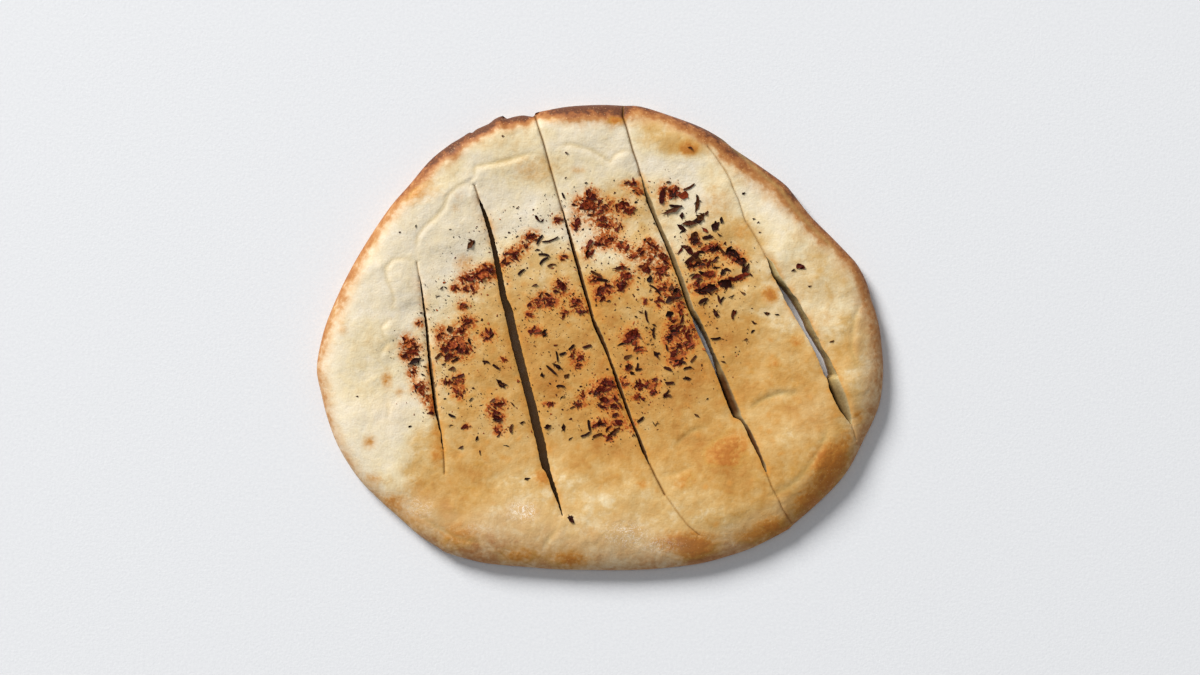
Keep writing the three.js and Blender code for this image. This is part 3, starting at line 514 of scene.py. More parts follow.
# The crust's height, as a field over x and y.

def shoulder(inset, run):
    """A quarter of an ellipse: 0 and upright at the edge, 1 and level from run inwards."""
    left = 1 - np.minimum(inset / run, 1)
    return np.sqrt(1 - left * left)


def inset_of(points):
    """How far each point is from the edge."""
    return np.abs(distance_to_line(points, COARSE_EDGE, closed=True)[0])


def bump_rise(points, x, y, radius, height):
    """A soft round bump."""
    return height * np.exp(-((np.hypot(points[:, 0] - x, points[:, 1] - y) / radius) ** 2))


def bubble_rise(points):
    rise = np.zeros(len(points))
    for bubble in BUBBLES:
        rise += bump_rise(points, *bubble)
    return rise


def blister_rise(points):
    """Many small blisters, scattered, each a few millimetres wide."""
    rng = random.Random(11)
    rise = np.zeros(len(points))
    for _ in range(BLISTERS):
        angle, out = rng.uniform(0, math.tau), math.sqrt(rng.uniform(0.02, 1))
        x, y = BLISTER_REACH[0] * out * math.cos(angle), BLISTER_REACH[1] * out * math.sin(angle)
        radius, height = rng.uniform(1.6, 4.5), rng.uniform(0.08, 0.34)
        rise += bump_rise(points, x, y, radius, height)
    return rise


def fold_shapes(points):
    """Each fold is a soft step up to its raised side, which sinks back slowly, with a furrow before the step.
    Returns the rise, and how deep in a furrow each point lies, which is where a painted shadow is
    laid beside the fold."""
    rise = np.zeros(len(points))
    furrow_shade = np.zeros(len(points))
    for height, width, line in FOLDS:
        aside, along, length = distance_to_line(points, line)
        fade = min(LONGEST_FADE, 0.4 * length)
        ends = smoothstep(0, fade, along) * smoothstep(0, fade, length - along)
        step = smoothstep(-0.5 * width, 1.2 * width, aside) * np.exp(-np.maximum(aside, 0) / (6 * width))
        furrow = ends * np.exp(-(((aside + 0.35 * width) / (0.4 * width)) ** 2))
        rise += 0.85 * height * (ends * step - 0.35 * furrow)
        furrow_shade = np.maximum(furrow_shade, min(height, 1) * furrow)
    return rise, furrow_shade


def crust_height(points):
    inset = inset_of(points)
    angle = np.arctan2(points[:, 1], points[:, 0]) - math.radians(SHOULDER_TURN)
    run = MEAN_SHOULDER - SHOULDER_SWING * np.sin(angle)
    dish = smoothstep(run, run + DISH_RUN, inset) * (RIM_HEIGHT - MIDDLE_HEIGHT)
    relief = bubble_rise(points) + fold_shapes(points)[0] + blister_rise(points)
    relief += sum(height * rough(points, width, 3, seed) for height, width, seed in CRUST_LUMPS)
    return EDGE_HEIGHT + shoulder(inset, run) * (RIM_HEIGHT - EDGE_HEIGHT - dish + relief)


def underside_height(points):
    """Flat on the floor, and curved up to the edge."""
    return EDGE_HEIGHT * (1 - shoulder(inset_of(points), UNDERCUT))


# The slits.

def slit_sides(slit, seed):
    """A gap's sides, a little ragged: y, left, right and the share open at the foot, SLIT_STEP apart in y."""
    rows = np.array([row if len(row) == 4 else (*row, slit["share"]) for row in slit["gap"]])
    y = np.arange(rows[0, 0], rows[-1, 0], -SLIT_STEP)
    left, right, share = (np.interp(-y, -rows[:, 0], rows[:, k]) for k in (1, 2, 3))
    ragged = np.array([noise.noise(Vector((seed, spot / 1.7, 0))) for spot in y])
    torn = np.array([noise.noise(Vector((seed + 5, spot / 1.3, 0))) for spot in y])
    narrow = np.minimum(right - left, 1)
    return y, left + 0.3 * ragged * narrow, right + 0.4 * torn * narrow, share


GAP_SIDES = [slit_sides(slit, seed) for seed, slit in enumerate(SLITS)]
HEALED = [(share, resample(line, HEALED_STEP)) for slit in SLITS for share, line in slit["closed"]]


def both_sides(left, right):
    """Values down the left side of a gap and then up its right side."""
    return np.concatenate([left, right[::-1]])


def loop_of(sides):
    """A gap's outline, down its left side and up its right one."""
    y, left, right, _ = sides
    return np.stack([both_sides(left, right), both_sides(y, y)], axis=1)


def in_gap(points, sides):
    y, left, right, _ = sides
    inside = (points[:, 1] <= y[0]) & (points[:, 1] >= y[-1])
    near_left = np.interp(-points[:, 1], -y, left)
    near_right = np.interp(-points[:, 1], -y, right)
    return inside & (points[:, 0] > near_left) & (points[:, 0] < near_right)


def in_any_gap(points):
    return np.any([in_gap(points, sides) for sides in GAP_SIDES], axis=0)


def lip_distance(points):
    """How far each point is from the nearest side of any gap."""
    nearest = np.full(len(points), np.inf)
    for y, left, right, _ in GAP_SIDES:
        for side in (left, right):
            line = np.stack([side, y], axis=1)[::2]
            nearest = np.minimum(nearest, np.abs(distance_to_line(points, line)[0]))
    return nearest


def healed_groove(points):
    """The narrow groove and the soft hollow along each healed line."""
    depth = np.zeros(len(points))
    for share, line in HEALED:
        aside = np.abs(distance_to_line(points, line)[0])
        groove = GROOVE_DEPTH * np.clip(1 - aside / GROOVE_REACH, 0, 1)
        hollow = HOLLOW_DEPTH * np.exp(-((aside / HOLLOW_REACH) ** 2))
        depth = np.maximum(depth, share * (groove + hollow))
    return depth


# The loaf.

class Surface:
    """Grows one mesh from numbered points. Each point has how deep down a wall it is, from 0 to 1, and how
    dark brown that wall is painted, partly real browning and partly painted shade."""

    def __init__(self):
        self.points = np.empty((0, 3))
        self.deep = np.empty(0)
        self.baked = np.empty(0)
        self.faces = []

    def add_points(self, points, deep=0, baked=0):
        """Adds the points and returns their numbers."""
        first = len(self.points)
        self.points = np.vstack([self.points, points])
        self.deep = np.append(self.deep, np.full(len(points), deep))
        self.baked = np.append(self.baked, np.full(len(points), baked))
        return np.arange(first, len(self.points))

    def add_faces(self, faces):
        self.faces.extend(tuple(int(i) for i in face) for face in faces)


def triangulate(points, loops):
    """Triangles over flat points, inside the first loop and along all of them. Loops are lists of numbers."""
    edges = [(loop[i], loop[(i + 1) % len(loop)]) for loop in loops for i in range(len(loop))]
    made = geometry.delaunay_2d_cdt([Vector(point) for point in points[:, :2]], edges, [], 1, 1e-5)
    _, _, faces, came_from = made[:4]
    number = [origin[0] if origin else -1 for origin in came_from]
    kept = [[number[i] for i in face] for face in faces]
    return np.array([face for face in kept if min(face) >= 0])


def hex_grid(step, margin):
    """Points of a slightly shaken triangular grid that lie more than margin inside the edge."""
    columns = np.arange(-GRID_REACH[0], GRID_REACH[0], step)
    rows = np.arange(-GRID_REACH[1], GRID_REACH[1], step * math.sqrt(3) / 2)
    x, y = np.meshgrid(columns, rows)
    x = x + (np.arange(len(rows)) % 2)[:, None] * step / 2
    grid = np.stack([x.ravel(), y.ravel()], axis=1)
    rng = np.random.default_rng(5)
    grid = grid + rng.uniform(-GRID_SHAKE, GRID_SHAKE, grid.shape) * step
    return grid[distance_to_line(grid, COARSE_EDGE, closed=True)[0] > margin]


def edge_rings(insets):
    """Rings of points beside the edge, each that far in from it."""
    inward = left_of(np.roll(EDGE_LINE, -1, 0) - np.roll(EDGE_LINE, 1, 0))
    return [EDGE_LINE + inset * inward for inset in insets]


def crust_points():
    """Where the crust's free points lie: rings beside the edge, a grid, and rows along the healed lines."""
    rings = np.vstack(edge_rings(RIM_RINGS))
    grid = hex_grid(CRUST_STEP, RIM_RINGS[-1] + 0.6)
    rows = []
    for _, line in HEALED:
        grid = grid[np.abs(distance_to_line(grid, line)[0]) > HEALED_CLEARANCE]
        across = left_of(np.gradient(line, axis=0))
        rows += [line + aside * across for aside in HEALED_ROWS]
    rows = np.vstack(rows)
    rows = rows[distance_to_line(rows, COARSE_EDGE, closed=True)[0] > EDGE_CLEARANCE]
    points = np.vstack([rings, grid, rows])
    return points[~in_any_gap(points) & (lip_distance(points) >= GAP_CLEARANCE)]


def add_crust(surface, edge_loop):
    """The top of the loaf, open at each gap. Returns the numbers of the points round each gap."""
    flat_loops = [loop_of(sides) for sides in GAP_SIDES]
    flat = np.vstack([*flat_loops, crust_points()])
    lip_drop = LIP_DROP * np.exp(-lip_distance(flat) / LIP_RUN)
    heights = crust_height(flat) - lip_drop - healed_groove(flat)
    heights = np.maximum(heights, EDGE_HEIGHT + 0.02)
    first = surface.add_points(np.column_stack([flat, heights]))[0]
    gap_loops = []
    for loop in flat_loops:
        gap_loops.append(np.arange(first, first + len(loop)))
        first += len(loop)
    faces = triangulate(surface.points, [edge_loop, *gap_loops])
    middles = surface.points[faces].mean(axis=1)[:, :2]
    surface.add_faces(faces[~in_any_gap(middles)])
    return gap_loops


def add_band(surface, above, below):
    """Triangles between two closed rows of points."""
    count = len(above)
    for i in range(count):
        j = (i + 1) % count
        surface.add_faces([(above[i], above[j], below[i]), (above[j], below[j], below[i])])


def crumb_noise(x, y, z):
    """How far the torn crumb stands out at each place, from about -1 to 1."""
    return np.array([
        noise.fractal(Vector((place_x / 2, place_y / 2, place_z / 2)), 0.9, 2.0, 2)
        for place_x, place_y, place_z in zip(x, y, z)
    ])


def add_walls(surface, top_loop, sides, slit):
    """Rows of points down both walls of a gap. Returns the numbers of the lowest row. Where little of the gap
    is open at its foot, the right wall first slopes in, rounded at its top, and then drops."""
    _, left, right, share = sides
    through = slit["through"]
    top_x, y, top_z = surface.points[top_loop].T
    width = right - left
    foot_left = left + (0.14 * share if through else 0.02) * width
    foot_right = foot_left + np.maximum(share * width, NARROWEST_FOOT)
    foot_x = both_sides(foot_left, foot_right)
    foot_z = 0 if through else BLIND_FLOOR
    width = both_sides(width, width)
    outward = both_sides(-np.ones(len(share)), np.ones(len(share)))
    shut = smoothstep(0.4, 0.15, both_sides(share, share))
    ledge = np.minimum(0.42, 0.9 * width / (top_z - foot_z))
    slack = np.where(outward > 0, 0 if through else 0.2, 0.25) * (1 - shut)
    above = top_loop
    for row in range(1, WALL_ROWS + 1):
        down = row / WALL_ROWS
        sloped = min(down / SLOPE_PART, 1)
        dropped = max(down - SLOPE_PART, 0) / (1 - SLOPE_PART)
        sunk = ledge * sloped**1.5 + (1 - ledge) * dropped
        x = top_x + (foot_x - top_x) * (down + (sloped - down) * shut)
        z = top_z + (foot_z - top_z) * (down + (sunk - down) * shut)
        bulge = math.sin(math.pi * (down if through else 0.85 * down))
        x = x + outward * bulge * (slack + 0.3 * crumb_noise(x, y, z)) * np.minimum(width / 3, 1)
        below = surface.add_points(np.stack([x, y, z], axis=1), down, slit["baked"])
        add_band(surface, above, below)
        above = below
    return above


def close_floor(surface, loop):
    """A strip between the two sides of a loop that goes down one side and up the other."""
    count = len(loop)
    for i in range(count // 2 - 1):
        a, b = loop[i], loop[i + 1]
        c, d = loop[count - 2 - i], loop[count - 1 - i]
        surface.add_faces([(a, b, c), (a, c, d)])


def add_underside(surface, edge_loop, low_loops):
    """The bottom of the loaf, open where a gap goes through."""
    rings = [ring[::2] for ring in edge_rings(UNDERSIDE_RINGS)]
    flat = np.vstack([*rings, hex_grid(UNDERSIDE_STEP, UNDERSIDE_RINGS[-1] + 1.5)])
    outlines = [surface.points[loop][:, :2] for loop in low_loops]
    for outline in outlines:
        away = np.abs(distance_to_line(flat, outline, closed=True)[0])
        flat = flat[(away > UNDERSIDE_CLEARANCE) & ~in_polygon(flat, outline)]
    added = surface.add_points(np.column_stack([flat, underside_height(flat)]))
    used = np.concatenate([edge_loop, *low_loops, added])
    place = {number: i for i, number in enumerate(used)}
    loops = [[place[number] for number in loop] for loop in (edge_loop, *low_loops)]
    points = surface.points[used]
    faces = triangulate(points, loops)
    middles = points[faces].mean(axis=1)[:, :2]
    hole = np.any([in_polygon(middles, outline) for outline in outlines], axis=0)
    surface.add_faces(used[faces[~hole]][:, ::-1])


def build_loaf():
    """The whole loaf as one closed surface."""
    surface = Surface()
    edge_loop = surface.add_points(np.column_stack([EDGE_LINE, np.full(len(EDGE_LINE), EDGE_HEIGHT)]))
    gap_loops = add_crust(surface, edge_loop)
    low_loops = []
    for slit, sides, loop in zip(SLITS, GAP_SIDES, gap_loops):
        lowest = add_walls(surface, loop, sides, slit)
        if slit["through"]:
            low_loops.append(lowest)
        else:
            close_floor(surface, lowest)
    add_underside(surface, edge_loop, low_loops)
    return surface


def rim_browning_and_shade(points):
    """How dark each point is painted by its nearness to the edge, in the bands of the rim table: real
    browning, with painted shade where the rim curves down and a thin painted shade line at the very edge.
    """
    degrees = np.degrees(np.arctan2(points[:, 1], points[:, 0])) % 360
    rows = np.array(RIM_BROWNING_AND_SHADE + [(360, *RIM_BROWNING_AND_SHADE[0][1:])], float)
    width = np.interp(degrees, rows[:, 0], rows[:, 1])
    strength = np.interp(degrees, rows[:, 0], rows[:, 2])
    wander = 1 + 0.26 * rough(points, 7, 3, 21.5)
    inset = inset_of(points)
    band = np.exp(-((inset / (width * wander)) ** 2.2))
    # A thin painted shade line at the very edge, where the crust curves under.
    edge = np.exp(-((inset / 1.3) ** 2))
    return strength * (band + 0.12 * edge)


def crease_shade_field(points):
    """How much painted shade each point has in the groove of a healed line, by its nearness to that line."""
    crease_shade = np.zeros(len(points))
    for share, line in HEALED:
        away = np.abs(distance_to_line(points, line)[0])
        crease_shade = np.maximum(crease_shade, share * np.clip(1 - away / 0.7, 0, 1))
    return crease_shade


def stain_field(points):
    """How orange each point is, under the patches of chilli and where their oil ran."""
    patches = [(x, y, 0.8 + 1.2 * wide, 0.8 + 1.2 * high, 0.8) for x, y, wide, high in CHILLI_PATCHES]
    return np.maximum(spots(points, patches), 0.6 * spots(points, ORANGE_STAINS))


def write_field(mesh, name, values):
    layer = mesh.attributes.new(name, "FLOAT", "POINT")
    layer.data.foreach_set("value", np.ascontiguousarray(values, np.float32))


def paint_loaf(mesh, surface):
    """Writes the fields that the crust's material reads."""
    flat = surface.points[:, :2]
    normals = np.zeros(len(flat) * 3)
    mesh.vertices.foreach_get("normal", normals)
    facing_down = smoothstep(0.1, -0.4, normals.reshape(-1, 3)[:, 2])
    crust = surface.deep == 0
    toast = [(x, y, 1.3 * wide, 1.3 * high, strength) for x, y, wide, high, strength in TOAST]
    fields = {
        "golden": PALEST + (1 - PALEST) * spots(flat, GOLDEN, level=True),
        "toast": spots(flat, toast),
        # Real browning at the rim, with painted shade where it curves down and under.
        "rim": rim_browning_and_shade(flat),
        "stain": stain_field(flat),
        "under": facing_down * (surface.points[:, 2] < 0.8 * EDGE_HEIGHT),
        "deep": surface.deep,
        # How dark brown the slit walls are painted: partly real scorching, partly painted shade in the gaps.
        "scorch_and_shade": np.maximum(surface.baked, spots(flat, SCORCHED_AND_SHADED, level=True)),
        # Painted shade along the healed grooves.
        "crease_shade": crease_shade_field(flat) * crust,
        # Glossy skin, which gets a painted sheen and painted glints as well as a lower roughness.
        "gloss_and_painted_sheen": spots(flat, GLOSS_AND_PAINTED_SHEEN),
        "lip": np.exp(-lip_distance(flat) / 1.5) * crust,
        # A painted shadow in the furrow beside each fold.
        "furrow": fold_shapes(flat)[1] * crust,
    }
    for name, values in fields.items():
        write_field(mesh, name, values)


def new_piece(name, points, faces, material, sharp_degrees):
    """A mesh object from points in millimetres, smooth except along edges sharper than the angle given."""
    mesh = bpy.data.meshes.new(name)
    mesh.from_pydata((np.asarray(points) * MM).tolist(), [], faces)
    mesh.update()
    mesh.polygons.foreach_set("use_smooth", np.ones(len(mesh.polygons), bool))
    mesh.set_sharp_from_angle(angle=math.radians(sharp_degrees))
    mesh.materials.append(material)
    piece = bpy.data.objects.new(name, mesh)
    bpy.context.scene.collection.objects.link(piece)
    return piece


def make_loaf():
    surface = build_loaf()
    loaf = new_piece("loaf", surface.points, surface.faces, crust_material(), 52)
    paint_loaf(loaf.data, surface)
    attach(loaf, "root")
    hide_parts("bread")


# The seasoning.

class Scatter:
    """Collects small closed chips that lie on the crust, to make them into one mesh."""

    def __init__(self):
        self.flat = []
        self.levels = []
        self.shades = []
        self.faces = []

    def add(self, flat, levels, faces, shade):
        first = len(self.flat)
        self.flat.extend(flat)
        self.levels.extend(levels)
        self.shades.extend([shade] * len(flat))
        self.faces.extend(tuple(first + i for i in face) for face in faces)

    def points(self):
        flat = np.array(self.flat)
        return np.column_stack([flat, crust_height(flat) + np.array(self.levels)])


def turned(offsets, x, y, degrees):
    """The offsets turned to a heading and moved to x, y."""
    heading = math.radians(degrees)
    c, s = math.cos(heading), math.sin(heading)
    return [(x + c * u - s * v, y + s * u + c * v) for u, v in offsets]


def add_chip(scatter, rng, x, y, length, width, degrees, thickness, shade):
    """An irregular chip: a ring sunk in the crust, a smaller ring above it, tilted, and both closed."""
    sides = rng.choice((4, 5, 5, 6))
    start = rng.uniform(0, math.tau)
    low, high = [], []
    for i in range(sides):
        angle = start + math.tau * (i + rng.uniform(-0.3, 0.3)) / sides
        reach = rng.uniform(0.65, 1.15)
        u, v = reach * length / 2 * math.cos(angle), reach * width / 2 * math.sin(angle)
        low.append((u, v))
        shrink = rng.uniform(0.6, 0.95)
        high.append((u * shrink, v * shrink))
    tilt = rng.uniform(-0.25, 0.25)
    tops = [thickness * (1 + tilt * u / length + rng.uniform(-0.2, 0.2)) for u, _ in high]
    faces = [tuple(range(sides))[::-1], tuple(range(sides, 2 * sides))]
    for i in range(sides):
        j = (i + 1) % sides
        faces.append((i, j, j + sides, i + sides))
    scatter.add(turned(low + high, x, y, degrees), [-CHIP_SUNK] * sides + tops, faces, shade)


def torn_side(kind, rng):
    """How far one side of a flake reaches from its middle line, end to end, as shares of its half width."""
    if kind in SIDE_REACHES:
        reaches = [rng.uniform(*limits) for limits in SIDE_REACHES[kind]]
        return [0, *reaches, 0] if kind == "leaf" else reaches
    peak, height = rng.uniform(0.15, 0.85), rng.choice((1, rng.uniform(0.25, 0.8)))
    blunt = rng.choice((0, 0, rng.uniform(0.2, 0.7)))
    reaches = []
    for share in (0, 0.2, 0.4, 0.6, 0.8, 1):
        rising = share / peak
        falling = 1 - (1 - blunt) * (share - peak) / (1 - peak)
        reaches.append(max(height * min(rising, falling), 0))
    return reaches


def flake_faces(along, across):
    """The faces of a closed sheet: its top and underside are grids, with a band round their border."""
    row = across + 1
    count = (along + 1) * row
    faces = []
    for i in range(along):
        for j in range(across):
            a, b = i * row + j, (i + 1) * row + j
            faces.append((a, b, b + 1, a + 1))
            faces.append((a + 1 + count, b + 1 + count, b + count, a + count))
    border = list(range(row)) + [i * row + across for i in range(1, along + 1)]
    border += [along * row + j for j in range(across - 1, -1, -1)]
    border += [i * row for i in range(along - 1, 0, -1)]
    for here, there in zip(border, border[1:] + border[:1]):
        faces.append((here, there, there + count, here + count))
    return faces


def add_flake(scatter, rng, kind, x, y, length, width, degrees, cuts=(14, 4)):
    """A thin dried flake: a grid that follows its torn outline, creased and curled, with an underside."""
    thickness, end_lift, side_lift, crumple, _ = FLAKE_BUILDS[kind]
    along, across = cuts
    sides = torn_side(kind, rng), torn_side(kind, rng)
    knots = np.linspace(-1, 1, len(sides[0]))
    bend, lean, seed = rng.uniform(-0.12, 0.12), rng.uniform(-0.35, 0.35), rng.uniform(0, 99)
    tilt = rng.uniform(-0.35, 0.35)
    offsets, lows = [], []
    for i in range(along + 1):
        share = -1 + 2 * i / along
        for j in range(across + 1):
            aside = -1 + 2 * j / across
            reach = max(np.interp(share, knots, sides[aside > 0]), 0.05) * width / 2
            u = share * length / 2 + lean * aside * reach
            v = aside * reach + bend * length * (share**2 - 0.4)
            lift = end_lift * share**2 * min(length / 8, 1) + side_lift * abs(aside) * reach / 1.5
            lift += crumple * 2 * noise.noise(Vector((u / 1.2, v / 1.2, seed))) + tilt * aside * reach
            offsets.append((u, v))
            lows.append(max(lift, 0))
    levels = [low + thickness for low in lows] + lows
    shade = 0.65 * rng.random() ** 1.2 if kind == "shred" else rng.random()
    scatter.add(turned(offsets * 2, x, y, degrees), levels, flake_faces(along, across), shade)


def add_clump(scatter, rng, kind, x, y, length, width, degrees):
    """A large flake with smaller shards that broke off it and lie across it."""
    add_flake(scatter, rng, kind, x, y, length, width, degrees)
    for _ in range(FLAKE_BUILDS[kind][-1]):
        spot = turned([(rng.uniform(-0.3, 0.3) * length, rng.uniform(-0.3, 0.3) * width)], x, y, degrees)[0]
        part = length * rng.uniform(0.35, 0.65)
        narrow = min(width, part) * rng.uniform(0.3, 0.6)
        heading = degrees + rng.choice((-1, 1)) * rng.uniform(15, 70)
        add_flake(scatter, rng, "shard", *spot, part, narrow, heading, (7, 3))


def lie_of(node):
    """Where a flake lies, from its CAD solid: its middle, length, width and heading."""
    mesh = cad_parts[node].data
    places = np.empty(len(mesh.vertices) * 3)
    mesh.vertices.foreach_get("co", places)
    flat = places.reshape(-1, 3)[:, :2] / MM
    middle = (flat.max(axis=0) + flat.min(axis=0)) / 2
    _, axes = np.linalg.eigh(np.cov((flat - flat.mean(axis=0)).T))
    main = axes[:, 1]
    side = np.array([-main[1], main[0]])
    length, width = np.ptp(flat @ main), np.ptp(flat @ side)
    return (*middle, length, width, math.degrees(math.atan2(main[1], main[0])))


def finish_scatter(scatter, name, materials, slot, sharp_degrees):
    piece = new_piece(name, scatter.points(), scatter.faces, materials[slot], sharp_degrees)
    write_field(piece.data, "shade", scatter.shades)
    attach(piece, "root")
    return piece


def make_large_flakes(materials):
    """One piece for each flake of the frame. A flake's name is its sort and a number of two digits."""
    for number, node in enumerate(sorted(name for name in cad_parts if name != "bread")):
        kind = FLAKE_KINDS[node[:-3]]
        scatter = Scatter()
        add_clump(scatter, random.Random(100 + number), kind, *lie_of(node))
        slot = "chilli" if kind == "chilli" else "herb"
        piece = finish_scatter(scatter, node + "_curled", materials, slot, 60)
        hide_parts(node)


def make_bits(name, rows, broad_kind, materials, slot, seed):
    """The smaller flakes of one slot. The slender ones are stems."""
    scatter = Scatter()
    rng = random.Random(seed)
    for x, y, length, width, degrees in rows:
        kind = "stem" if length > 2.6 * width else broad_kind
        add_flake(scatter, rng, kind, x, y, 1.1 * length, 1.15 * width, degrees, (8, 4))
    finish_scatter(scatter, name, materials, slot, 60)


def on_crust(x, y, margin=0.5):
    """Whether a spot is on the crust and not over a gap."""
    for down, left, right, _ in GAP_SIDES:
        beside = np.interp(-y, -down, left) - margin < x < np.interp(-y, -down, right) + margin
        if down[-1] - margin < y < down[0] + margin and beside:
            return False
    return True


def spot_in_patch(rng, x, y, wide, high, crowding):
    """A random spot in an oval. The higher the crowding, the nearer to the middle."""
    out, angle = rng.random() ** crowding, rng.uniform(0, math.tau)
    return x + wide * out * math.cos(angle), y + high * out * math.sin(angle)


def make_chilli_crumbs(materials):
    """Chopped chilli: in each patch some torn shreds that cross each other, and finer crumbs round them."""
    scatter = Scatter()
    rng = random.Random(21)
    for x, y, wide, high in CHILLI_PATCHES:
        for _ in range(int(2 + 0.34 * wide * high)):
            spot = spot_in_patch(rng, x, y, wide, high, 0.7)
            length = rng.uniform(1.7, 4.1)
            if on_crust(*spot, 0.45 * length):
                width = min(length * rng.uniform(0.4, 0.75), 2)
                add_flake(scatter, rng, "shred", *spot, length, width, rng.gauss(25, 50), (5, 2))
        for _ in range(int(4 + 0.8 * wide * high)):
            spot = spot_in_patch(rng, x, y, 1.3 * wide, 1.3 * high, 0.6)
            if on_crust(*spot):
                length = rng.uniform(0.5, 1.5)
                width = length * rng.uniform(0.35, 0.8)
                heading, thickness = rng.gauss(25, 50), rng.uniform(0.15, 0.45)
                add_chip(scatter, rng, *spot, length, width, heading, thickness, rng.uniform(0.15, 1))
    finish_scatter(scatter, "chilli_crumbs", materials, "chilli", 30)


def make_specks(name, materials, slot, seed, tries):
    """Fine seasoning, thrown over the middle and thickest round the patches."""
    scatter = Scatter()
    rng = random.Random(seed)
    area_x, area_y, area_wide, area_high = SPECKLED
    for _ in range(tries):
        if rng.random() < 0.6:
            x, y, wide, high = rng.choice(CHILLI_PATCHES)
            spot = x + rng.gauss(0, wide + 2.5), y + rng.gauss(0, high + 2.5)
        else:
            angle, out = rng.uniform(0, math.tau), math.sqrt(rng.random())
            spot = area_x + area_wide * out * math.cos(angle), area_y + area_high * out * math.sin(angle)
        if not on_crust(*spot):
            continue
        length = min(0.35 + rng.expovariate(2.6), 2.4)
        width = length * rng.uniform(0.35, 0.8)
        heading, thickness = rng.gauss(10, 55), rng.uniform(0.12, 0.35)
        add_chip(scatter, rng, *spot, length, width, heading, thickness, rng.random())
    finish_scatter(scatter, name, materials, slot, 30)


# The materials.

def colour(red, green, blue):
    """A picture colour, 0 to 255, as the linear colour that a shader takes."""
    levels = (red / 255, green / 255, blue / 255)
    linear = [((level + 0.055) / 1.055) ** 2.4 if level > 0.04045 else level / 12.92 for level in levels]
    return (*linear, 1)


class Shading:
    """Short calls that build one material's nodes."""

    def __init__(self, name):
        self.material = bpy.data.materials.new(name)
        self.material.use_nodes = True
        self.nodes = self.material.node_tree.nodes
        self.links = self.material.node_tree.links
        self.shader = self.nodes["Principled BSDF"]
        self.place = self.nodes.new("ShaderNodeTexCoord").outputs["Object"]

    def feed(self, socket, value):
        if isinstance(value, bpy.types.NodeSocket):
            self.links.new(value, socket)
        else:
            socket.default_value = value

    def set(self, **sockets):
        for name, value in sockets.items():
            self.feed(self.shader.inputs[name.replace("_", " ")], value)

    def field(self, name):
        node = self.nodes.new("ShaderNodeAttribute")
        node.attribute_name = name
        return node.outputs["Fac"]

    def grain(self, size, detail=3, roughness=0.55, distortion=0.0):
        """Noise from 0 to 1 with lumps about size millimetres wide."""
        node = self.nodes.new("ShaderNodeTexNoise")
        self.links.new(self.place, node.inputs["Vector"])
        node.inputs["Scale"].default_value = 1 / (size * MM)
        node.inputs["Detail"].default_value = detail
        node.inputs["Roughness"].default_value = roughness
        node.inputs["Distortion"].default_value = distortion
        return node.outputs["Fac"]

    def cells(self, size):
        """Distance to the nearest of many scattered spots, about size millimetres apart."""
        node = self.nodes.new("ShaderNodeTexVoronoi")
        self.links.new(self.place, node.inputs["Vector"])
        node.inputs["Scale"].default_value = 1 / (size * MM)
        return node.outputs["Distance"]

    def math(self, operation, a, b=0.0, clamp=False):
        node = self.nodes.new("ShaderNodeMath")
        node.operation = operation
        node.use_clamp = clamp
        self.feed(node.inputs[0], a)
        self.feed(node.inputs[1], b)
        return node.outputs[0]

    def times(self, a, b):
        return self.math("MULTIPLY", a, b)

    def plus(self, a, b, clamp=False):
        return self.math("ADD", a, b, clamp)

    def minus(self, a, b):
        return self.math("SUBTRACT", a, b)

    def remap(self, value, low, high, to_low=0.0, to_high=1.0):
        node = self.nodes.new("ShaderNodeMapRange")
        self.feed(node.inputs["Value"], value)
        for name, number in (("From Min", low), ("From Max", high), ("To Min", to_low), ("To Max", to_high)):
            node.inputs[name].default_value = number
        return node.outputs["Result"]

    def spread(self, grain, low, high):
        """Noise, which is mostly between 0.3 and 0.7, spread out from low to high."""
        return self.remap(grain, 0.3, 0.7, low, high)

    def ramp(self, value, rows):
        """Colours along a value. Each row is where it has that colour, and the red, green and blue."""
        node = self.nodes.new("ShaderNodeValToRGB")
        self.feed(node.inputs["Fac"], value)
        bar = node.color_ramp.elements
        while len(bar) < len(rows):
            bar.new(1)
        for element, (position, *tint) in zip(bar, rows):
            element.position = position
            element.color = colour(*tint)
        return node.outputs["Color"]

    def mix(self, share, a, b, blend="MIX"):
        node = self.nodes.new("ShaderNodeMix")
        node.data_type = "RGBA"
        node.blend_type = blend
        self.feed(node.inputs[0], share)
        self.feed(node.inputs[6], a)
        self.feed(node.inputs[7], b)
        return node.outputs[2]

    def over(self, tint, share, red, green, blue):
        """A picture colour laid over a tint, as strong as the share."""
        return self.mix(share, tint, colour(red, green, blue))

    def bump(self, height, depth):
        """Relief depth millimetres deep."""
        node = self.nodes.new("ShaderNodeBump")
        self.feed(node.inputs["Height"], height)
        node.inputs["Distance"].default_value = depth * MM
        return node.outputs["Normal"]


class CrustShading(Shading):
    """The loaf's shading, with the noises that its layers share and how golden each place is."""

    def __init__(self):
        super().__init__("baked_crust")
        self.broad = self.grain(15, 2, 0.5, 0.3)
        self.blotch = self.grain(7.5, 3, 0.5, 0.3)
        self.middling = self.grain(2.6, 3, 0.55)
        self.fine = self.grain(0.85, 2, 0.6)
        mottle = self.plus(self.spread(self.broad, -0.1, 0.1), self.spread(self.blotch, -0.09, 0.09))
        mottle = self.plus(mottle, self.spread(self.middling, -0.09, 0.09))
        golden = self.field("golden")
        lively = self.remap(golden, 0.1, 0.6, 0.4, 1.0)
        self.gold = self.plus(golden, self.times(mottle, lively))


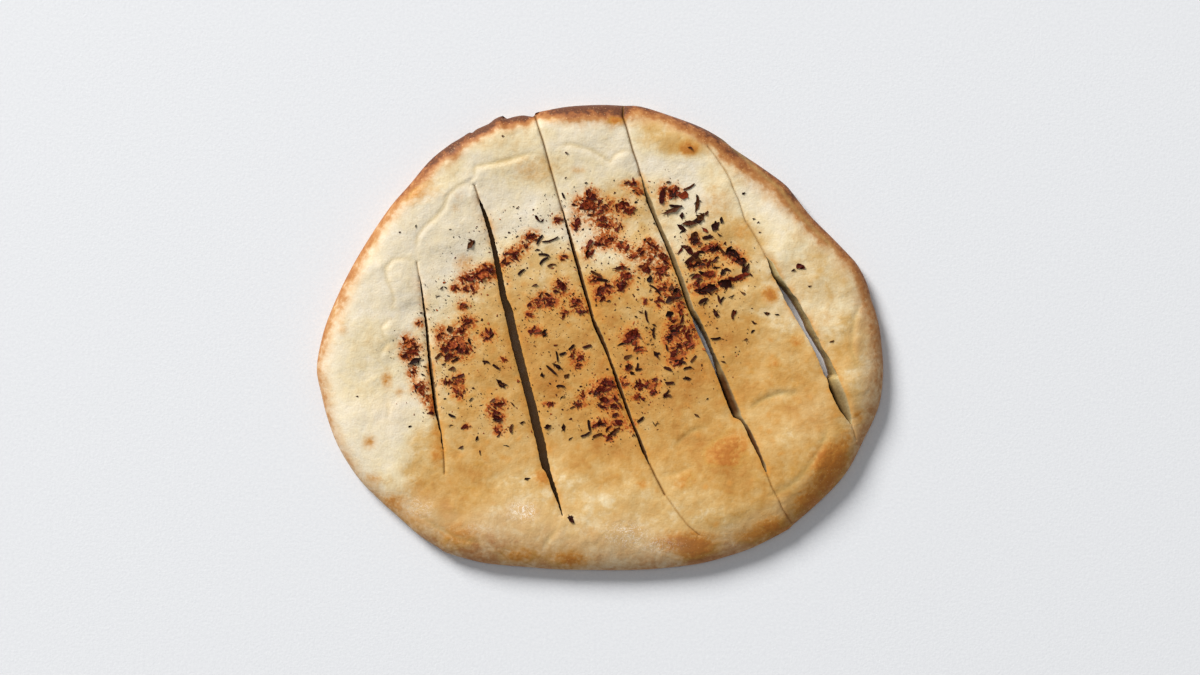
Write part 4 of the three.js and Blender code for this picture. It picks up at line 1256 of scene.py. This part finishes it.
def golden_layer(s):
    """Cream to golden brown, with freckles on the golden parts."""
    tint = s.ramp(s.gold, [
        (0, 231, 222, 204), (0.25, 231, 214, 176), (0.5, 209, 173, 113), (0.75, 195, 147, 76),
        (1, 178, 117, 44),
    ])
    freckles = s.times(s.remap(s.cells(8), 0.3, 0.1), s.remap(s.blotch, 0.45, 0.6))
    freckles = s.times(freckles, s.remap(s.gold, 0.3, 0.6, 0, 0.6))
    return s.over(tint, freckles, 208, 144, 62)


def browned_and_shaded_layers(s, tint):
    """The browned rim, in part painted shade where it curves down and under, the toasted spots, and pale
    flecks on the rim.
    """
    rim = s.times(s.field("rim"), s.remap(s.blotch, 0.34, 0.66, 0.84, 1.16))
    rim = s.times(rim, s.spread(s.middling, 0.8, 1.2))
    rim_tint = s.ramp(rim, [
        (0, 221, 192, 150), (0.3, 204, 163, 116), (0.55, 176, 118, 66), (0.8, 141, 82, 42), (1, 88, 46, 28),
    ])
    tint = s.mix(s.remap(rim, 0.05, 0.45), tint, rim_tint)
    toast = s.times(s.field("toast"), s.spread(s.middling, 0.65, 1.4))
    toast_tint = s.ramp(toast, [(0, 216, 168, 96), (0.4, 205, 144, 64), (0.85, 180, 110, 38)])
    tint = s.mix(s.remap(toast, 0.1, 0.6), tint, toast_tint, "DARKEN")
    flecks = s.times(s.remap(s.field("rim"), 0.05, 0.25), s.remap(s.cells(1.5), 0.2, 0.1))
    return s.over(tint, s.times(flecks, 0.45), 240, 196, 140)


def painted_sheen_layers(s, tint):
    """A painted sheen, paler skin, where the skin is glossy, with thin painted glints on it."""
    # Painted sheen: paler colour where the skin is glossy.
    tint = s.over(tint, s.times(s.field("gloss_and_painted_sheen"), 0.3), 232, 196, 156)
    # Painted highlight: thin bright glints along the ridges of a noise.
    off_ridge = s.math("ABSOLUTE", s.minus(s.grain(2.4, 2, 0.5, 1.0), 0.5))
    painted_glint = s.times(s.remap(s.field("gloss_and_painted_sheen"), 0.35, 0.85), s.remap(off_ridge, 0.035, 0.005))
    return s.over(tint, s.times(painted_glint, 0.8), 255, 246, 232)


def crease_layers(s, tint):
    """Pin dots, painted shade along the healed creases, a painted shadow in the furrows beside the folds,
    fine grain, and the slits' browned lips.
    """
    pin_dots = s.times(s.remap(s.cells(3.2), 0.12, 0.05), s.remap(s.broad, 0.46, 0.6))
    tint = s.over(tint, s.times(pin_dots, 0.35), 176, 112, 52)
    # Painted shade along the healed grooves, and a painted shadow in the furrows beside the folds.
    tint = s.over(tint, s.times(s.field("crease_shade"), 0.7), 132, 96, 48)
    tint = s.over(tint, s.times(s.field("furrow"), 0.6), 186, 160, 100)
    tint = s.over(tint, s.remap(s.fine, 0.4, 0.7, 0.0, 0.15), 186, 132, 66)
    lip = s.times(s.field("lip"), s.remap(s.blotch, 0.4, 0.65, 0.1, 0.9))
    return s.over(tint, lip, 208, 146, 66)


def stained_layer(s, tint):
    """Orange stains under the chilli."""
    wet = s.times(s.field("stain"), s.remap(s.grain(2.2, 4, 0.65, 0.8), 0.36, 0.62, 0.3, 1.3))
    wet_tint = s.ramp(wet, [(0, 224, 172, 88), (0.35, 208, 134, 48), (0.65, 178, 90, 26), (1, 134, 56, 16)])
    return s.mix(s.remap(wet, 0.06, 0.6), tint, wet_tint)


def torn_layer(s, tint):
    """The crumb on the walls of the slits, with painted shade that darkens it further down, and darker again
    where the walls are painted as scorched, partly real scorching and partly painted shade.
    """
    deep = s.field("deep")
    # Painted shade: the crumb is darker the further down the wall it lies.
    crumb = s.ramp(deep, [
        (0.1, 224, 204, 152), (0.33, 206, 184, 128), (0.7, 182, 152, 92), (1, 150, 112, 58),
    ])
    crumb = s.over(crumb, s.remap(s.fine, 0.35, 0.65, 0, 0.3), 120, 84, 46)
    # Partly real scorching and partly painted shade: darker brown inside the gaps.
    scorch_and_shade = s.times(s.field("scorch_and_shade"), s.remap(deep, 0.05, 0.3, 0.75, 1))
    crumb = s.over(crumb, scorch_and_shade, 88, 54, 26)
    return s.mix(s.remap(deep, 0, 1 / WALL_ROWS), tint, crumb)


def underside_layer(s, tint):
    """The floury underside with brown patches from the hot tray."""
    baked = s.ramp(s.grain(7, 4, 0.6), [
        (0.3, 222, 186, 134), (0.48, 198, 146, 88), (0.6, 150, 98, 54), (0.72, 96, 60, 36),
    ])
    return s.mix(s.field("under"), tint, baked)


def crust_material():
    s = CrustShading()
    tint = golden_layer(s)
    for lay in (browned_and_shaded_layers, painted_sheen_layers, crease_layers, stained_layer, torn_layer, underside_layer):
        tint = lay(s, tint)
    oily = s.remap(s.field("golden"), 0.3, 0.8, 0.0, 0.14)
    roughness = s.minus(s.spread(s.middling, 0.5, 0.66), oily)
    roughness = s.minus(roughness, s.times(s.field("gloss_and_painted_sheen"), 0.18))
    relief = s.plus(s.times(s.fine, 0.3), s.times(s.middling, 0.7))
    s.set(Base_Color=tint, Roughness=roughness, Normal=s.bump(relief, 0.36), Specular_IOR_Level=0.26)
    return s.material


def seasoning_material(name, rows, roughness):
    """Dry and dull, shaded flake by flake with some mottling."""
    s = Shading(name)
    shade = s.plus(s.field("shade"), s.spread(s.grain(1.1, 3), -0.25, 0.25), clamp=True)
    relief = s.grain(0.5, 3)
    s.set(Base_Color=s.ramp(shade, rows), Roughness=s.spread(relief, roughness - 0.1, roughness + 0.1))
    s.set(Normal=s.bump(relief, 0.12), Specular_IOR_Level=0.09)
    return s.material


def herb_material():
    rows = [(0, 24, 5, 3), (0.5, 42, 13, 6), (0.8, 64, 24, 10), (1, 84, 48, 18)]
    return seasoning_material("toasted_herb", rows, 0.6)


def chilli_material():
    rows = [(0, 52, 10, 6), (0.3, 84, 22, 10), (0.65, 130, 50, 20), (1, 190, 106, 50)]
    return seasoning_material("toasted_chilli", rows, 0.55)


def floor_material():
    s = Shading("pale_floor")
    speck = s.spread(s.grain(1.6, 4, 0.7), 0, 1)
    s.set(Base_Color=s.mix(speck, colour(222, 224, 229), colour(230, 232, 236)), Roughness=0.85)
    s.set(Normal=s.bump(s.grain(1.2, 3), 0.08), Specular_IOR_Level=0.2)
    return s.material


# The floor, the light and the camera, in metres.

FLOOR_HALF = 1.6
LAMP_HEADING = 128  # degrees anticlockwise from +X
LAMP_DISTANCE = 12
LAMP_WIDTH = 4.8
LAMP_COLOUR = (1, 0.985, 0.955)
SKY_COLOUR = (0.93, 0.965, 1, 1)
SKY_STRENGTH = 0.2
CAMERA_HEIGHT = 1.2
FRAME_WIDTH = 0.6


def make_floor():
    low, high = -FLOOR_HALF, FLOOR_HALF
    mesh = bpy.data.meshes.new("floor")
    mesh.from_pydata([(low, low, 0), (high, low, 0), (high, high, 0), (low, high, 0)], [], [(0, 1, 2, 3)])
    mesh.materials.append(floor_material())
    floor = bpy.data.objects.new("floor", mesh)
    bpy.context.scene.collection.objects.link(floor)


def add_lamp(name, rise, energy):
    """A wide round lamp, that many degrees above the floor, which faces the origin."""
    data = bpy.data.lights.new(name, "AREA")
    data.shape = "DISK"
    data.size = LAMP_WIDTH
    data.energy = energy
    data.color = LAMP_COLOUR
    lamp = bpy.data.objects.new(name, data)
    around, up = math.radians(LAMP_HEADING), math.radians(rise)
    toward = Vector((math.cos(around) * math.cos(up), math.sin(around) * math.cos(up), math.sin(up)))
    lamp.location = toward * LAMP_DISTANCE
    lamp.rotation_euler = toward.to_track_quat("Z", "Y").to_euler()
    bpy.context.scene.collection.objects.link(lamp)


def light_scene():
    """A strong lamp low at the upper left, a weak one nearly overhead, and a weak even sky."""
    add_lamp("key", 32.5, 2060)
    add_lamp("overhead", 84, 185)
    world = bpy.data.worlds.new("studio")
    world.use_nodes = True
    background = world.node_tree.nodes["Background"]
    background.inputs["Color"].default_value = SKY_COLOUR
    background.inputs["Strength"].default_value = SKY_STRENGTH
    bpy.context.scene.world = world
    bpy.context.scene.view_settings.view_transform = "Standard"


def make_camera():
    """Straight above the loaf. The picture is FRAME_WIDTH wide at the floor."""
    data = bpy.data.cameras.new("camera")
    data.lens = data.sensor_width * CAMERA_HEIGHT / FRAME_WIDTH
    camera = bpy.data.objects.new("camera", data)
    middle = [(low + high) / 2 for low, high in zip(bread_low, bread_high)]
    camera.location = (middle[0], middle[1], CAMERA_HEIGHT + bread_low[2])
    bpy.context.scene.collection.objects.link(camera)
    bpy.context.scene.camera = camera


make_camera()
make_floor()
light_scene()
make_loaf()
seasonings = {"herb": herb_material(), "chilli": chilli_material()}
make_large_flakes(seasonings)
make_bits("herb_bits", HERB_BITS, "shard", seasonings, "herb", 7)
make_bits("chilli_bits", CHILLI_BITS, "shred", seasonings, "chilli", 8)
make_chilli_crumbs(seasonings)
make_specks("herb_specks", seasonings, "herb", 33, 1700)
make_specks("chilli_specks", seasonings, "chilli", 34, 1500)
